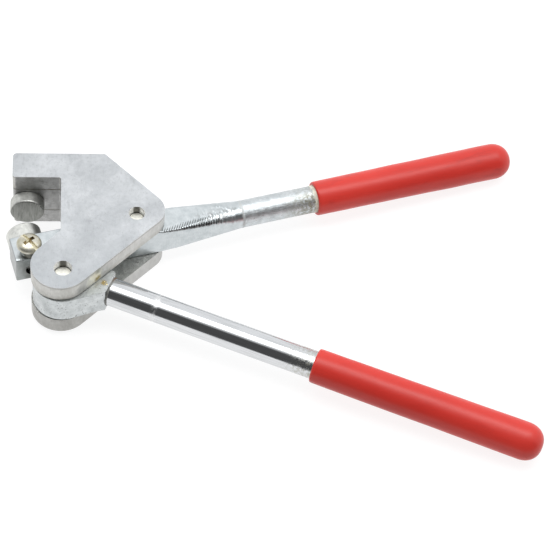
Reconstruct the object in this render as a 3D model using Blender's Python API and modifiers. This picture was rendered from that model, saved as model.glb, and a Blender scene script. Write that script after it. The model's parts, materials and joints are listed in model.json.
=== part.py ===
"""Hand seamer: two plates hold a fixed round die, and two levers drive a moving round die against it.

The jaw lever turns on the rear pin and carries the moving die and the upper handle. The cam lever
turns on the front pin, carries the lower handle and pushes the jaw lever with its nose.
Lengths below are in millimetres in the tool's own plan, with the rear pin at the origin, +X along
the closed handles and +Z square to the plates. Z is 0 halfway between the plates.
"""

import math

import bmesh
import bpy
from mathutils import Matrix, Vector

MM = 0.001
FIT = 0.3  # gap left between pieces that touch
RUNNING = 0.12  # radial clearance of a pin in its bore

# Frame plates and the block between them
PLATE_THICK = 12.5
PLATE_GAP = 23.0
PLATE_EDGE = 0.7
HALF_GAP = PLATE_GAP / 2
BACK_Y = 52.0
THROAT_Y = 30.7
THROAT_X = -50.8
NOSE_X = -83.6
SHOULDER_X = -21.0
SHOULDER_ANGLE = math.radians(-47)
HEEL_RADIUS = 15.0
LOBE_AT = (-50.6, -43.3)
LOBE_RADIUS = 19.6
FRONT_ANGLE = math.radians(44.2)
NECK_ANGLE = math.radians(46.5)
BLOCK_REAR_Y = 16.5
FRAME_SCREWS_AT = ((-57.0, 41.0), (-30.0, 41.0), (-8.0, 23.5))

# Pins
REAR_PIN_RADIUS = 5.4
FRONT_PIN_RADIUS = 5.9
FRONT_PIN_AT = (-49.05, -46.3)
PIN_RECESS = 5.4
PIN_DOME = 0.7

# Dies, each with its shank in a bore
DIE_SHANK_RADIUS = 5.4
DIE_EDGE = 1.1
FIXED_DIE_RADIUS = 11.6
FIXED_DIE_X = -74.0
FIXED_DIE_Z = -2.6
FIXED_DIE_FACE_Y = 21.6
FIXED_SHANK_LENGTH = 12.0
MOVING_DIE_RADIUS = 11.9
MOVING_DIE_ALONG = -73.4
MOVING_DIE_Z = -1.2
MOVING_DIE_FACE = 21.3
MOVING_SHANK_END = -7.0

# Jaw lever: a square bar that narrows past the plates and turns round where the tube begins
JAW_OPEN = math.radians(14.6)
BAR_HALF_WIDTH = 10.0
BAR_HALF_HEIGHT = 11.0
BAR_START = -85.4
BAR_EDGE = 0.8
BAR_TAPER_START = 14.0
BAR_SQUARE_END = 27.0
BAR_SQUARE_END_HALF_HEIGHT = 10.4
BAR_ROUND_START = 74.5
BAR_ROUND_STEPS = 5
ROUND_SHORT = 0.02  # a corner radius stays this much under half the side
SPIGOT_RADIUS = 7.2
SPIGOT_LENGTH = 22.0
HANDLE_TILT = math.radians(0.6)  # the tube leans back a little from the bar's own line

# Die clamp screw, M8 with a collar and a pan head that has a slot and a cross recess
CLAMP_ALONG = -74.9
CLAMP_ACROSS = -4.2
CLAMP_SHANK_RADIUS = 3.85
CLAMP_SHANK_CHAMFER = 0.8
CLAMP_COLLAR_TOP_RADIUS = 7.4
CLAMP_COLLAR_FOOT_RADIUS = 5.8
CLAMP_COLLAR_LOW = BAR_HALF_HEIGHT + FIT
CLAMP_HEAD_RADIUS = 8.35
CLAMP_HEAD_UNDER = 18.3
CLAMP_HEAD_HEIGHT = 5.2
CLAMP_HEAD_RIM = 1.2
CLAMP_HEAD_EDGE = 0.4
CLAMP_TIP_Z = MOVING_DIE_Z + DIE_SHANK_RADIUS + FIT
CLAMP_SLOT_TURN = math.radians(-63)
CLAMP_SLOT = (20.0, 2.4, 5.6)  # length, width and twice the depth
CLAMP_CROSS = (2.4, 8.4, 7.2)

# Cam lever
CAM_OPEN = math.radians(-24.2)
CAM_RATIO = 1.37  # turn of the cam lever for each degree of the jaw lever
CAM_THICK = 20.0
CAM_TOP = HALF_GAP - 0.5
CAM_MID = CAM_TOP - CAM_THICK / 2
HUB_AT = (-1.25, 1.2)  # the hub's round is a little off the pin
HUB_RADIUS = 19.4
TUBE_ACROSS = 10.9
NOSE_BACK = (1.5, -3.5)  # from the nose's tip to the corner behind it
BLOCK_SHOULDER = (22.0, 20.8)
BLOCK_END = 29.3
BLOCK_HIGH = 20.3
BLOCK_LOW = 2.0
BLOCK_HEEL = (24.7, -1.2)
CAM_EDGE = 0.6
WASHER_RADIUS = 12.0

# Handles
TUBE_RADIUS = 9.5
TUBE_BORE = 7.5
WELD_RADIUS = 0.5
UPPER_WELD_AT = BAR_ROUND_START + 2.0
LOWER_WELD_AT = BLOCK_END + WELD_RADIUS + FIT
UPPER_GRIP = (129.5, 279.5)
LOWER_GRIP = (174.2, 330.0)
UPPER_GRIP_RADII = (12.0, 12.8)
LOWER_GRIP_RADII = (11.6, 12.5)
GRIP_LIP = (1.2, 1.0)  # length and height of the slope at the mouth
GRIP_WALL_END = 11.0

# Fasteners, M6 socket cap screws
CAP_HEAD_RADIUS = 5.0
CAP_HEAD_HEIGHT = 6.0
CAP_HEAD_CHAMFER = 0.5
CAP_SHANK_RADIUS = 2.9
SHANK_CHAMFER = 0.6
CAP_SOCKET_RADIUS = 2.9
CAP_SOCKET_DEPTH = 3.2
FRAME_SCREW_REACH = 9.0
FRAME_SCREW_SUNK = 1.0
DIE_SCREW_SUNK = 7.0
DIE_THREAD_SPARE = 1.5
DIE_SCREW_REACH = 6.5

ROUND = 36
SMALL_ROUND = 20
ARC_STEP = math.radians(9)

ALUMINIUM = ((0.62, 0.62, 0.62), 0.45, 1.0)
STEEL = ((0.42, 0.42, 0.41), 0.4, 1.0)
ZINC = ((0.66, 0.70, 0.72), 0.38, 1.0)
YELLOW_ZINC = ((0.72, 0.64, 0.42), 0.3, 1.0)
BLACK_OXIDE = ((0.05, 0.05, 0.055), 0.4, 1.0)
CHROME = ((0.80, 0.81, 0.82), 0.12, 1.0)
WELD_STEEL = ((0.34, 0.25, 0.18), 0.6, 1.0)
RED_VINYL = ((0.72, 0.04, 0.03), 0.35, 0.0)


# ---------------------------------------------------------------- scene and materials


def clear_scene():
    for obj in list(bpy.data.objects):
        bpy.data.objects.remove(obj, do_unlink=True)


def make_collection(name):
    collection = bpy.data.collections.new(name)
    bpy.context.scene.collection.children.link(collection)
    return collection


def make_material(name, look):
    colour, roughness, metallic = look
    material = bpy.data.materials.new(name)
    material.use_nodes = True
    shader = material.node_tree.nodes["Principled BSDF"]
    shader.inputs["Base Color"].default_value = (*colour, 1)
    shader.inputs["Roughness"].default_value = roughness
    shader.inputs["Metallic"].default_value = metallic
    return material


def make_empty(name, at, turn=0.0, parent=None):
    empty = bpy.data.objects.new(name, None)
    empty.location = Vector(at) * MM
    empty.rotation_euler.z = turn
    empty.parent = parent
    PARTS.objects.link(empty)
    return empty


def finish_piece(obj, look, parent, at=(0, 0, 0), turn=(0, 0, 0)):
    """Gives a piece its material and its place, and moves it to the parts' collection."""
    for collection in list(obj.users_collection):
        collection.objects.unlink(obj)
    PARTS.objects.link(obj)
    obj.data.materials.clear()
    obj.data.materials.append(make_material(obj.name, look))
    obj.data.shade_smooth()
    obj.data.set_sharp_from_angle(angle=math.radians(35))
    obj.parent = parent
    obj.location = Vector(at) * MM
    obj.rotation_euler = turn
    return obj


# ---------------------------------------------------------------- shape helpers


def edge_line(x, y, angle):
    """A straight edge through a point: the point and its unit direction."""
    return Vector((x, y)), Vector((math.cos(angle), math.sin(angle)))


def crossing(first, second):
    """The point where two edges meet."""
    (a, u), (b, v) = first, second
    along = (b - a).cross(v) / u.cross(v)
    return a + u * along


def tangent_edge(centre, radius, angle):
    """The edge at this angle that touches a circle on the right of its direction."""
    cx, cy = centre
    return edge_line(cx + radius * math.sin(angle), cy - radius * math.cos(angle), angle)


def rounded(corners):
    """Outline points for corners given as (point, radius), each rounded by an arc."""
    points = []
    for i, (corner, radius) in enumerate(corners):
        before = (corners[i - 1][0] - corner).normalized()
        after = (corners[(i + 1) % len(corners)][0] - corner).normalized()
        half = before.angle(after) / 2
        if radius == 0:
            points.append(corner)
            continue
        centre = corner + (before + after).normalized() * radius / math.sin(half)
        start = corner + before * radius / math.tan(half) - centre
        sweep = start.angle_signed(corner + after * radius / math.tan(half) - centre)
        count = max(2, math.ceil(abs(sweep) / ARC_STEP))
        for step in range(count + 1):
            turn = Matrix.Rotation(-sweep * step / count, 2)
            points.append(centre + turn @ start)
    return points


def solid_outline(name, points, thickness):
    """A flat outline with this thickness, centred on z 0, as a closed mesh."""
    curve = bpy.data.curves.new(name + "_outline", "CURVE")
    curve.dimensions = "2D"
    curve.fill_mode = "BOTH"
    curve.extrude = thickness / 2 * MM
    spline = curve.splines.new("POLY")
    spline.points.add(len(points) - 1)
    for target, point in zip(spline.points, points):
        target.co = (point[0] * MM, point[1] * MM, 0, 1)
    spline.use_cyclic_u = True
    drawn = bpy.data.objects.new(name + "_drawn", curve)
    PARTS.objects.link(drawn)
    bpy.context.view_layer.update()
    graph = bpy.context.evaluated_depsgraph_get()
    mesh = bpy.data.meshes.new_from_object(drawn.evaluated_get(graph))
    bpy.data.objects.remove(drawn, do_unlink=True)
    work = bmesh.new()
    work.from_mesh(mesh)
    bmesh.ops.remove_doubles(work, verts=work.verts, dist=0.000005)
    bmesh.ops.dissolve_limit(
        work, angle_limit=0.0005, verts=work.verts, edges=work.edges
    )
    bmesh.ops.recalc_face_normals(work, faces=work.faces)
    work.to_mesh(mesh)
    work.free()
    mesh.name = name
    obj = bpy.data.objects.new(name, mesh)
    PARTS.objects.link(obj)
    return obj


def turned(name, profile, closed=False, steps=ROUND):
    """A shape turned about its own Z from (radius, height) points that run down the outside."""
    mesh = bpy.data.meshes.new(name)
    edges = [(i, i + 1) for i in range(len(profile) - 1)]
    if closed:
        edges.append((len(profile) - 1, 0))
    mesh.from_pydata([(r * MM, 0, z * MM) for r, z in profile], edges, [])
    obj = bpy.data.objects.new(name, mesh)
    PARTS.objects.link(obj)
    screw = obj.modifiers.new("Turn", "SCREW")
    screw.axis = "Z"
    screw.steps = steps
    screw.render_steps = steps
    screw.use_merge_vertices = True
    screw.merge_threshold = 0.00002
    screw.use_smooth_shade = True
    return obj


def quarter_arc(radius, height, count=5):
    """Points of a quarter ellipse from (0, height) out to (radius, 0)."""
    turns = [math.pi / 2 * step / count for step in range(count + 1)]
    return [(radius * math.sin(turn), height * math.cos(turn)) for turn in turns]


def make_cutter(name, build, at, turn=(0, 0, 0), parent=None):
    """A hidden helper solid. build adds its shape to a bmesh, in millimetres."""
    work = bmesh.new()
    build(work)
    bmesh.ops.scale(work, vec=(MM, MM, MM), verts=work.verts)
    mesh = bpy.data.meshes.new(name)
    work.to_mesh(mesh)
    work.free()
    obj = bpy.data.objects.new(name, mesh)
    obj.location = Vector(at) * MM
    obj.rotation_euler = turn
    obj.parent = parent
    obj.hide_render = True
    obj.display_type = "WIRE"
    CUTTERS.objects.link(obj)
    return obj


def rod_shape(radius, length, sides=24):
    """Builds a cylinder along Z, centred."""

    def build(work):
        bmesh.ops.create_cone(
            work, cap_ends=True, segments=sides, radius1=radius, radius2=radius, depth=length
        )

    return build


def box_shape(x, y, z):
    """Builds a box of these sides, centred."""

    def build(work):
        made = bmesh.ops.create_cube(work, size=1)
        bmesh.ops.scale(work, vec=(x, y, z), verts=made["verts"])

    return build


def boolean(obj, cutter, operation="DIFFERENCE"):
    modifier = obj.modifiers.new(operation.title() + "_" + cutter.name, "BOOLEAN")
    modifier.operation = operation
    modifier.object = cutter
    modifier.solver = "EXACT"


def bevel(obj, width, angle=40):
    modifier = obj.modifiers.new("Edges", "BEVEL")
    modifier.width = width * MM
    modifier.segments = 1
    modifier.limit_method = "ANGLE"
    modifier.angle_limit = math.radians(angle)
    modifier.use_clamp_overlap = True


def bore(obj, name, radius, length, at, turn=(0, 0, 0), parent=None):
    cutter = make_cutter(name, rod_shape(radius, length), at, turn, parent or FRAME)
    boolean(obj, cutter)


# ---------------------------------------------------------------- frame


def frame_edges():
    """The straight edges of the plates, by name."""
    lobe_x, lobe_y = LOBE_AT
    end_angle = (FRONT_ANGLE + NECK_ANGLE) / 2 - math.pi / 2
    return {
        "back": edge_line(NOSE_X, BACK_Y, 0),
        "shoulder": edge_line(SHOULDER_X, BACK_Y, SHOULDER_ANGLE),
        "front": tangent_edge(LOBE_AT, LOBE_RADIUS, FRONT_ANGLE),
        "lobe_end": tangent_edge(LOBE_AT, LOBE_RADIUS, end_angle),
        "neck": tangent_edge(LOBE_AT, LOBE_RADIUS, NECK_ANGLE + math.pi),
        "throat_side": edge_line(THROAT_X, THROAT_Y, math.pi / 2),
        "throat_top": edge_line(NOSE_X, THROAT_Y, 0),
        "nose": edge_line(NOSE_X, THROAT_Y, math.pi / 2),
    }


def plate_outline():
    edges = frame_edges()
    order = (
        ("nose", "back", 3.0),
        ("back", "shoulder", 2.0),
        ("shoulder", "front", HEEL_RADIUS),
        ("front", "lobe_end", LOBE_RADIUS * 0.999),
        ("lobe_end", "neck", LOBE_RADIUS * 0.999),
        ("neck", "throat_side", 2.5),
        ("throat_side", "throat_top", 1.7),
        ("throat_top", "nose", 2.5),
    )
    return rounded([(crossing(edges[a], edges[b]), radius) for a, b, radius in order])


def plate_middle():
    return HALF_GAP + PLATE_THICK / 2


def make_plate(name, middle):
    plate = solid_outline(name, plate_outline(), PLATE_THICK)
    finish_piece(plate, ALUMINIUM, FRAME, (0, 0, middle))
    bevel(plate, PLATE_EDGE)
    front_x, front_y = FRONT_PIN_AT
    through = PLATE_THICK + 4
    bore(plate, name + "_rear_bore", REAR_PIN_RADIUS + RUNNING, through, (0, 0, middle))
    at = (front_x, front_y, middle)
    bore(plate, name + "_front_bore", FRONT_PIN_RADIUS + RUNNING, through, at)
    return plate


def make_top_plate():
    plate = make_plate("top_plate", plate_middle())
    depth = 2 * (FRAME_SCREW_REACH + 1)
    for i, (x, y) in enumerate(FRAME_SCREWS_AT):
        name = f"top_plate_thread_{i + 1}"
        bore(plate, name, CAP_SHANK_RADIUS + RUNNING, depth, (x, y, HALF_GAP))


def make_bottom_plate():
    plate = make_plate("bottom_plate", -plate_middle())
    underside = -(HALF_GAP + PLATE_THICK)
    for i, (x, y) in enumerate(FRAME_SCREWS_AT):
        name = f"bottom_plate_screw_{i + 1}"
        through = PLATE_THICK + 4
        bore(plate, name, CAP_SHANK_RADIUS + FIT, through, (x, y, -plate_middle()))
        sink = 2 * (CAP_HEAD_HEIGHT + 1 + FIT)
        bore(plate, name + "_sink", CAP_HEAD_RADIUS + FIT, sink, (x, y, underside))


def make_head_block():
    edges = frame_edges()
    rear = edge_line(0, BLOCK_REAR_Y, 0)
    corners = [
        (crossing(edges["nose"], edges["back"]), 3.0),
        (crossing(edges["back"], edges["shoulder"]), 2.0),
        (crossing(edges["shoulder"], rear), 0),
        (crossing(rear, edges["throat_side"]), 0),
        (crossing(edges["throat_side"], edges["throat_top"]), 1.7),
        (crossing(edges["throat_top"], edges["nose"]), 2.5),
    ]
    block = solid_outline("head_block", rounded(corners), PLATE_GAP - 2 * FIT)
    finish_piece(block, ALUMINIUM, FRAME)
    for i, (x, y) in enumerate(FRAME_SCREWS_AT):
        name = f"head_block_screw_{i + 1}"
        bore(block, name, CAP_SHANK_RADIUS + FIT, PLATE_GAP + 4, (x, y, 0))
    lying = (math.pi / 2, 0, 0)
    shank = 2 * (FIXED_SHANK_LENGTH + 1)
    at = (FIXED_DIE_X, THROAT_Y, FIXED_DIE_Z)
    bore(block, "head_block_die", DIE_SHANK_RADIUS + RUNNING, shank, at, lying)
    at = (FIXED_DIE_X, BACK_Y, FIXED_DIE_Z)
    bore(block, "head_block_die_screw", CAP_SHANK_RADIUS + FIT, 30, at, lying)
    sink = 2 * (DIE_SCREW_SUNK + FIT)
    bore(block, "head_block_die_sink", CAP_HEAD_RADIUS + FIT, sink, at, lying)


def cap_screw(name, shank_length, parent, at, turn=(0, 0, 0)):
    """A socket cap screw that hangs from its head: the head's top is at z 0, the shank below."""
    end = -CAP_HEAD_HEIGHT - shank_length
    profile = [
        (0, 0),
        (CAP_HEAD_RADIUS - CAP_HEAD_CHAMFER, 0),
        (CAP_HEAD_RADIUS, -CAP_HEAD_CHAMFER),
        (CAP_HEAD_RADIUS, -CAP_HEAD_HEIGHT),
        (CAP_SHANK_RADIUS, -CAP_HEAD_HEIGHT),
        (CAP_SHANK_RADIUS, end + SHANK_CHAMFER),
        (CAP_SHANK_RADIUS - SHANK_CHAMFER, end),
        (0, end),
    ]
    screw = turned(name, profile, steps=SMALL_ROUND)
    finish_piece(screw, BLACK_OXIDE, parent, at, turn)
    socket = rod_shape(CAP_SOCKET_RADIUS, 2 * CAP_SOCKET_DEPTH, 6)
    cutter = make_cutter(name + "_socket", socket, at, turn, parent)
    boolean(screw, cutter)
    return screw


def make_frame_screws():
    head_top = -(HALF_GAP + PLATE_THICK) + FRAME_SCREW_SUNK
    reach = HALF_GAP + FRAME_SCREW_REACH - (head_top + CAP_HEAD_HEIGHT)
    for i, (x, y) in enumerate(FRAME_SCREWS_AT):
        name = f"frame_screw_{i + 1}"
        cap_screw(name, reach, FRAME, (x, y, head_top), (math.pi, 0, 0))


def make_pivot_pin(name, radius, x, y):
    """A plain pin with domed ends, sunk below both plate faces."""
    half = HALF_GAP + PLATE_THICK - PIN_RECESS
    dome = [(r, half - PIN_DOME + z) for r, z in quarter_arc(radius, PIN_DOME, 3)]
    profile = dome + [(r, -z) for r, z in reversed(dome)]
    pin = turned(name, profile, steps=24)
    finish_piece(pin, STEEL, FRAME, (x, y, 0))


def make_cam_washer():
    """The washer that keeps the cam lever up against the top plate."""
    x, y = FRONT_PIN_AT
    low = -HALF_GAP + FIT
    high = CAM_TOP - CAM_THICK - FIT
    inner = FRONT_PIN_RADIUS + RUNNING
    profile = [(inner, high), (WASHER_RADIUS, high), (WASHER_RADIUS, low), (inner, low)]
    washer = turned("cam_washer", profile, closed=True, steps=24)
    finish_piece(washer, STEEL, FRAME, (x, y, 0))


# ---------------------------------------------------------------- dies


def die_profile(radius, face, seat, shank_end):
    """A round die: its face at height face, its seat at height seat, and a shank below."""
    profile = [(0, face)]
    for r, z in quarter_arc(DIE_EDGE, DIE_EDGE, 2):
        profile.append((radius - DIE_EDGE + r, face - DIE_EDGE + z))
    profile += [
        (radius, seat),
        (DIE_SHANK_RADIUS, seat),
        (DIE_SHANK_RADIUS, shank_end + SHANK_CHAMFER),
        (DIE_SHANK_RADIUS - SHANK_CHAMFER, shank_end),
        (0, shank_end),
    ]
    return profile


def make_fixed_die():
    height = THROAT_Y - FIXED_DIE_FACE_Y
    profile = die_profile(FIXED_DIE_RADIUS, height, FIT, -FIXED_SHANK_LENGTH)
    die = turned("fixed_die", profile)
    at = (FIXED_DIE_X, THROAT_Y, FIXED_DIE_Z)
    outward = (math.pi / 2, 0, 0)
    finish_piece(die, STEEL, FRAME, at, outward)
    thread = rod_shape(CAP_SHANK_RADIUS + RUNNING, 2 * (DIE_SCREW_REACH + DIE_THREAD_SPARE))
    end = (FIXED_DIE_X, THROAT_Y + FIXED_SHANK_LENGTH, FIXED_DIE_Z)
    boolean(die, make_cutter("fixed_die_thread", thread, end, outward, FRAME))


def make_fixed_die_screw():
    seat = BACK_Y - DIE_SCREW_SUNK
    at = (FIXED_DIE_X, seat + CAP_HEAD_HEIGHT, FIXED_DIE_Z)
    reach = seat - (THROAT_Y + FIXED_SHANK_LENGTH) + DIE_SCREW_REACH
    cap_screw("fixed_die_screw", reach, FRAME, at, (-math.pi / 2, 0, 0))


def make_moving_die():
    seat = BAR_HALF_WIDTH + FIT
    die = turned("moving_die", die_profile(MOVING_DIE_RADIUS, MOVING_DIE_FACE, seat, MOVING_SHANK_END))
    finish_piece(die, STEEL, JAW, (MOVING_DIE_ALONG, 0, MOVING_DIE_Z), (-math.pi / 2, 0, 0))


# ---------------------------------------------------------------- jaw lever


def bar_section(along, half_width, half_height, radius, shift=0.0, steps=5):
    """A rounded rectangle across the bar at one place along it, shifted to the back."""
    points = []
    for corner in range(4):
        side = 1 if corner in (0, 3) else -1
        top = 1 if corner in (0, 1) else -1
        for step in range(steps + 1):
            turn = math.pi / 2 * (corner + step / steps)
            y = side * (half_width - radius) + radius * math.cos(turn)
            z = top * (half_height - radius) + radius * math.sin(turn)
            points.append((along * MM, (y + shift) * MM, z * MM))
    return points


def bar_sections():
    """Sections from the jaw end to the spigot: square, narrowing, then evenly turning round."""
    sections = [
        (BAR_START, BAR_HALF_WIDTH - BAR_EDGE, BAR_HALF_HEIGHT - BAR_EDGE, BAR_EDGE),
        (BAR_START + BAR_EDGE, BAR_HALF_WIDTH, BAR_HALF_HEIGHT, BAR_EDGE),
        (BAR_TAPER_START, BAR_HALF_WIDTH, BAR_HALF_HEIGHT, BAR_EDGE),
    ]
    square = (BAR_SQUARE_END, BAR_HALF_WIDTH, BAR_SQUARE_END_HALF_HEIGHT, BAR_EDGE)
    full_round = (BAR_ROUND_START, TUBE_RADIUS, TUBE_RADIUS, TUBE_RADIUS - ROUND_SHORT)
    for step in range(BAR_ROUND_STEPS + 1):
        share = step / BAR_ROUND_STEPS
        sections.append(tuple(a + share * (b - a) for a, b in zip(square, full_round)))
    spigot = (SPIGOT_RADIUS, SPIGOT_RADIUS, SPIGOT_RADIUS - ROUND_SHORT)
    sections.append((BAR_ROUND_START, *spigot))
    sections.append(
        (BAR_ROUND_START + SPIGOT_LENGTH, *spigot, SPIGOT_LENGTH * math.tan(HANDLE_TILT))
    )
    return sections


def make_jaw_lever():
    work = bmesh.new()
    rings = [[work.verts.new(point) for point in bar_section(*s)] for s in bar_sections()]
    for ring, following in zip(rings, rings[1:]):
        for i in range(len(ring)):
            j = (i + 1) % len(ring)
            work.faces.new((ring[i], ring[j], following[j], following[i]))
    work.faces.new(rings[0])
    work.faces.new(reversed(rings[-1]))
    bmesh.ops.recalc_face_normals(work, faces=work.faces)
    mesh = bpy.data.meshes.new("jaw_lever")
    work.to_mesh(mesh)
    work.free()
    lever = bpy.data.objects.new("jaw_lever", mesh)
    finish_piece(lever, ZINC, JAW)
    height = 2 * BAR_HALF_HEIGHT + 4
    bore(lever, "jaw_pivot_bore", REAR_PIN_RADIUS + RUNNING, height, (0, 0, 0), parent=JAW)
    width = 2 * BAR_HALF_WIDTH + 4
    lying = (math.pi / 2, 0, 0)
    at = (MOVING_DIE_ALONG, 0, MOVING_DIE_Z)
    bore(lever, "jaw_die_bore", DIE_SHANK_RADIUS + RUNNING, width, at, lying, JAW)
    depth = 2 * (BAR_HALF_HEIGHT - MOVING_DIE_Z)
    at = (CLAMP_ALONG, CLAMP_ACROSS, BAR_HALF_HEIGHT)
    bore(lever, "jaw_clamp_thread", CLAMP_SHANK_RADIUS + RUNNING, depth, at, parent=JAW)


def make_clamp_screw():
    """Pan head screw with a tapering collar. Its tip presses on the moving die's shank."""
    dome = quarter_arc(CLAMP_HEAD_RADIUS, CLAMP_HEAD_HEIGHT - CLAMP_HEAD_RIM, 4)
    under = CLAMP_HEAD_UNDER
    profile = [(r, under + CLAMP_HEAD_RIM + z) for r, z in dome]
    profile += [
        (CLAMP_HEAD_RADIUS - CLAMP_HEAD_EDGE, under),
        (CLAMP_COLLAR_TOP_RADIUS, under),
        (CLAMP_COLLAR_FOOT_RADIUS, CLAMP_COLLAR_LOW),
        (CLAMP_SHANK_RADIUS, CLAMP_COLLAR_LOW),
        (CLAMP_SHANK_RADIUS, CLAMP_TIP_Z + CLAMP_SHANK_CHAMFER),
        (CLAMP_SHANK_RADIUS - CLAMP_SHANK_CHAMFER, CLAMP_TIP_Z),
        (0, CLAMP_TIP_Z),
    ]
    screw = turned("die_clamp_screw", profile, steps=24)
    finish_piece(screw, YELLOW_ZINC, CLAMP)
    top = (0, 0, under + CLAMP_HEAD_HEIGHT)
    turn = (0, 0, CLAMP_SLOT_TURN)
    boolean(screw, make_cutter("clamp_slot", box_shape(*CLAMP_SLOT), top, turn, CLAMP))
    boolean(screw, make_cutter("clamp_cross", box_shape(*CLAMP_CROSS), top, turn, CLAMP))


# ---------------------------------------------------------------- cam lever


def cam_nose():
    """The nose's outline in the lever's own plan, which stays just clear of the jaw bar's front face.

    As the jaw lever turns from open to closed, its front face is a straight line at a known
    distance from the front pin. The nose is the curve that each of those lines touches.
    """
    pin_x, pin_y = FRONT_PIN_AT
    steps = 10
    points = []
    for step in range(steps + 1):
        tilt = JAW_OPEN * (1 - step / steps)
        reach = -pin_y * math.cos(tilt) + pin_x * math.sin(tilt) - BAR_HALF_WIDTH - FIT
        slope = pin_y * math.sin(tilt) + pin_x * math.cos(tilt)
        slope /= 1 + CAM_RATIO
        facing = math.pi / 2 + tilt - CAM_RATIO * (JAW_OPEN - tilt) - CAM_OPEN
        normal = Vector((math.cos(facing), math.sin(facing)))
        points.append(normal * reach + Vector((-normal.y, normal.x)) * slope)
    return points


def tangent_angle(outside, side):
    """How far round the hub the line from a point outside touches it."""
    away = outside - Vector(HUB_AT)
    return math.atan2(away.y, away.x) + side * math.acos(HUB_RADIUS / away.length)


def hub_arc(start, end):
    """Points round the hub from one angle down to another."""
    count = math.ceil((start - end) / ARC_STEP)
    points = []
    for step in range(count + 1):
        turn = start + (end - start) * step / count
        points.append(Vector(HUB_AT) + HUB_RADIUS * Vector((math.cos(turn), math.sin(turn))))
    return points


def cam_outline():
    nose = cam_nose()
    corners = [
        (nose[-1] + Vector(NOSE_BACK), 2.0),
        (Vector(BLOCK_SHOULDER), 5.0),
        (Vector((BLOCK_END, BLOCK_HIGH)), 2.4),
        (Vector((BLOCK_END, BLOCK_LOW)), 0.6),
        (Vector(BLOCK_HEEL), 2.0),
    ]
    start = tangent_angle(corners[-1][0], -1)
    end = tangent_angle(nose[0], 1) - math.tau
    sharp = [(point, 0) for point in hub_arc(start, end) + nose]
    return rounded(sharp + corners)


def make_cam_lever():
    lever = solid_outline("cam_lever", cam_outline(), CAM_THICK)
    finish_piece(lever, ZINC, CAM, (0, 0, CAM_MID))
    bevel(lever, CAM_EDGE, 30)
    along = (0, math.pi / 2, 0)
    spigot = make_cutter(
        "cam_spigot",
        rod_shape(SPIGOT_RADIUS, SPIGOT_LENGTH + 6),
        (BLOCK_END + SPIGOT_LENGTH / 2 - 3, TUBE_ACROSS, CAM_MID),
        along,
        CAM,
    )
    boolean(lever, spigot, "UNION")
    at = (0, 0, CAM_MID)
    bore(lever, "cam_pivot_bore", FRONT_PIN_RADIUS + RUNNING, CAM_THICK + 4, at, parent=CAM)


# ---------------------------------------------------------------- handles

ALONG_X = (0, math.pi / 2, 0)


def make_tube(name, start, end, look, parent, across=0.0, z=0.0):
    profile = [(TUBE_BORE, end), (TUBE_RADIUS, end), (TUBE_RADIUS, start), (TUBE_BORE, start)]
    tube = turned(name, profile, closed=True)
    finish_piece(tube, look, parent, (0, across, z), ALONG_X)


def make_weld(name, at, parent, across=0.0, z=0.0):
    """The weld bead round the joint between a lever and its tube."""
    middle = TUBE_RADIUS + FIT / 2 + WELD_RADIUS * 0.5
    profile = []
    for step in range(6):
        turn = -math.tau * step / 6
        r = middle + WELD_RADIUS * 0.5 * math.cos(turn)
        profile.append((r, at + WELD_RADIUS * math.sin(turn)))
    bead = turned(name, profile, closed=True, steps=24)
    finish_piece(bead, WELD_STEEL, parent, (0, across, z), ALONG_X)


def make_grip(name, span, radii, parent, across=0.0, z=0.0):
    """A dipped sleeve with a closed, rounded end, a little fatter towards that end."""
    start, end = span
    mouth, thick = radii
    bore_radius = TUBE_RADIUS + FIT
    cap = [(r, end - thick + h) for r, h in quarter_arc(thick, thick, 6)]
    lip_length, lip_height = GRIP_LIP
    profile = cap + [
        (mouth, start + lip_length),
        (mouth - lip_height, start),
        (bore_radius, start),
        (bore_radius, end - GRIP_WALL_END),
        (0, end - GRIP_WALL_END),
    ]
    grip = turned(name, profile)
    finish_piece(grip, RED_VINYL, parent, (0, across, z), ALONG_X)


def make_handles():
    tube_end = UPPER_GRIP[1] - GRIP_WALL_END - FIT
    make_tube("upper_handle_tube", BAR_ROUND_START + FIT, tube_end, ZINC, HANDLE)
    make_weld("upper_handle_weld", UPPER_WELD_AT, HANDLE)
    make_grip("upper_grip", UPPER_GRIP, UPPER_GRIP_RADII, HANDLE)
    place = {"across": TUBE_ACROSS, "z": CAM_MID}
    tube_end = LOWER_GRIP[1] - GRIP_WALL_END - FIT
    make_tube("lower_handle_tube", BLOCK_END + FIT, tube_end, CHROME, CAM, **place)
    make_weld("lower_handle_weld", LOWER_WELD_AT, CAM, **place)
    make_grip("lower_grip", LOWER_GRIP, LOWER_GRIP_RADII, CAM, **place)


def handle_origin():
    """Where the leaning handle's own line puts the rear pin, so that both lines meet at the weld."""
    joint = Vector((BAR_ROUND_START, 0, 0))
    return joint - Matrix.Rotation(HANDLE_TILT, 3, "Z") @ joint


# ---------------------------------------------------------------- assembly


def stand_on_origin():
    """Moves the frame so that the tool's box stands centred on the origin."""
    bpy.context.view_layer.update()
    graph = bpy.context.evaluated_depsgraph_get()
    low = Vector((math.inf,) * 3)
    high = Vector((-math.inf,) * 3)
    for obj in PARTS.objects:
        if obj.type != "MESH":
            continue
        shape = obj.evaluated_get(graph)
        for vertex in shape.to_mesh().vertices:
            point = shape.matrix_world @ vertex.co
            low = Vector(map(min, low, point))
            high = Vector(map(max, high, point))
        shape.to_mesh_clear()
    FRAME.location -= Vector(((low.x + high.x) / 2, (low.y + high.y) / 2, low.z))
    bpy.context.view_layer.update()
    print("rear pin at", tuple(round(v, 6) for v in FRAME.matrix_world.translation))
    print("front pin at", tuple(round(v, 6) for v in CAM.matrix_world.translation))
    print("clamp screw at", tuple(round(v, 6) for v in CLAMP.matrix_world.translation))
    print("size", tuple(round(v, 6) for v in high - low))


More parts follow.
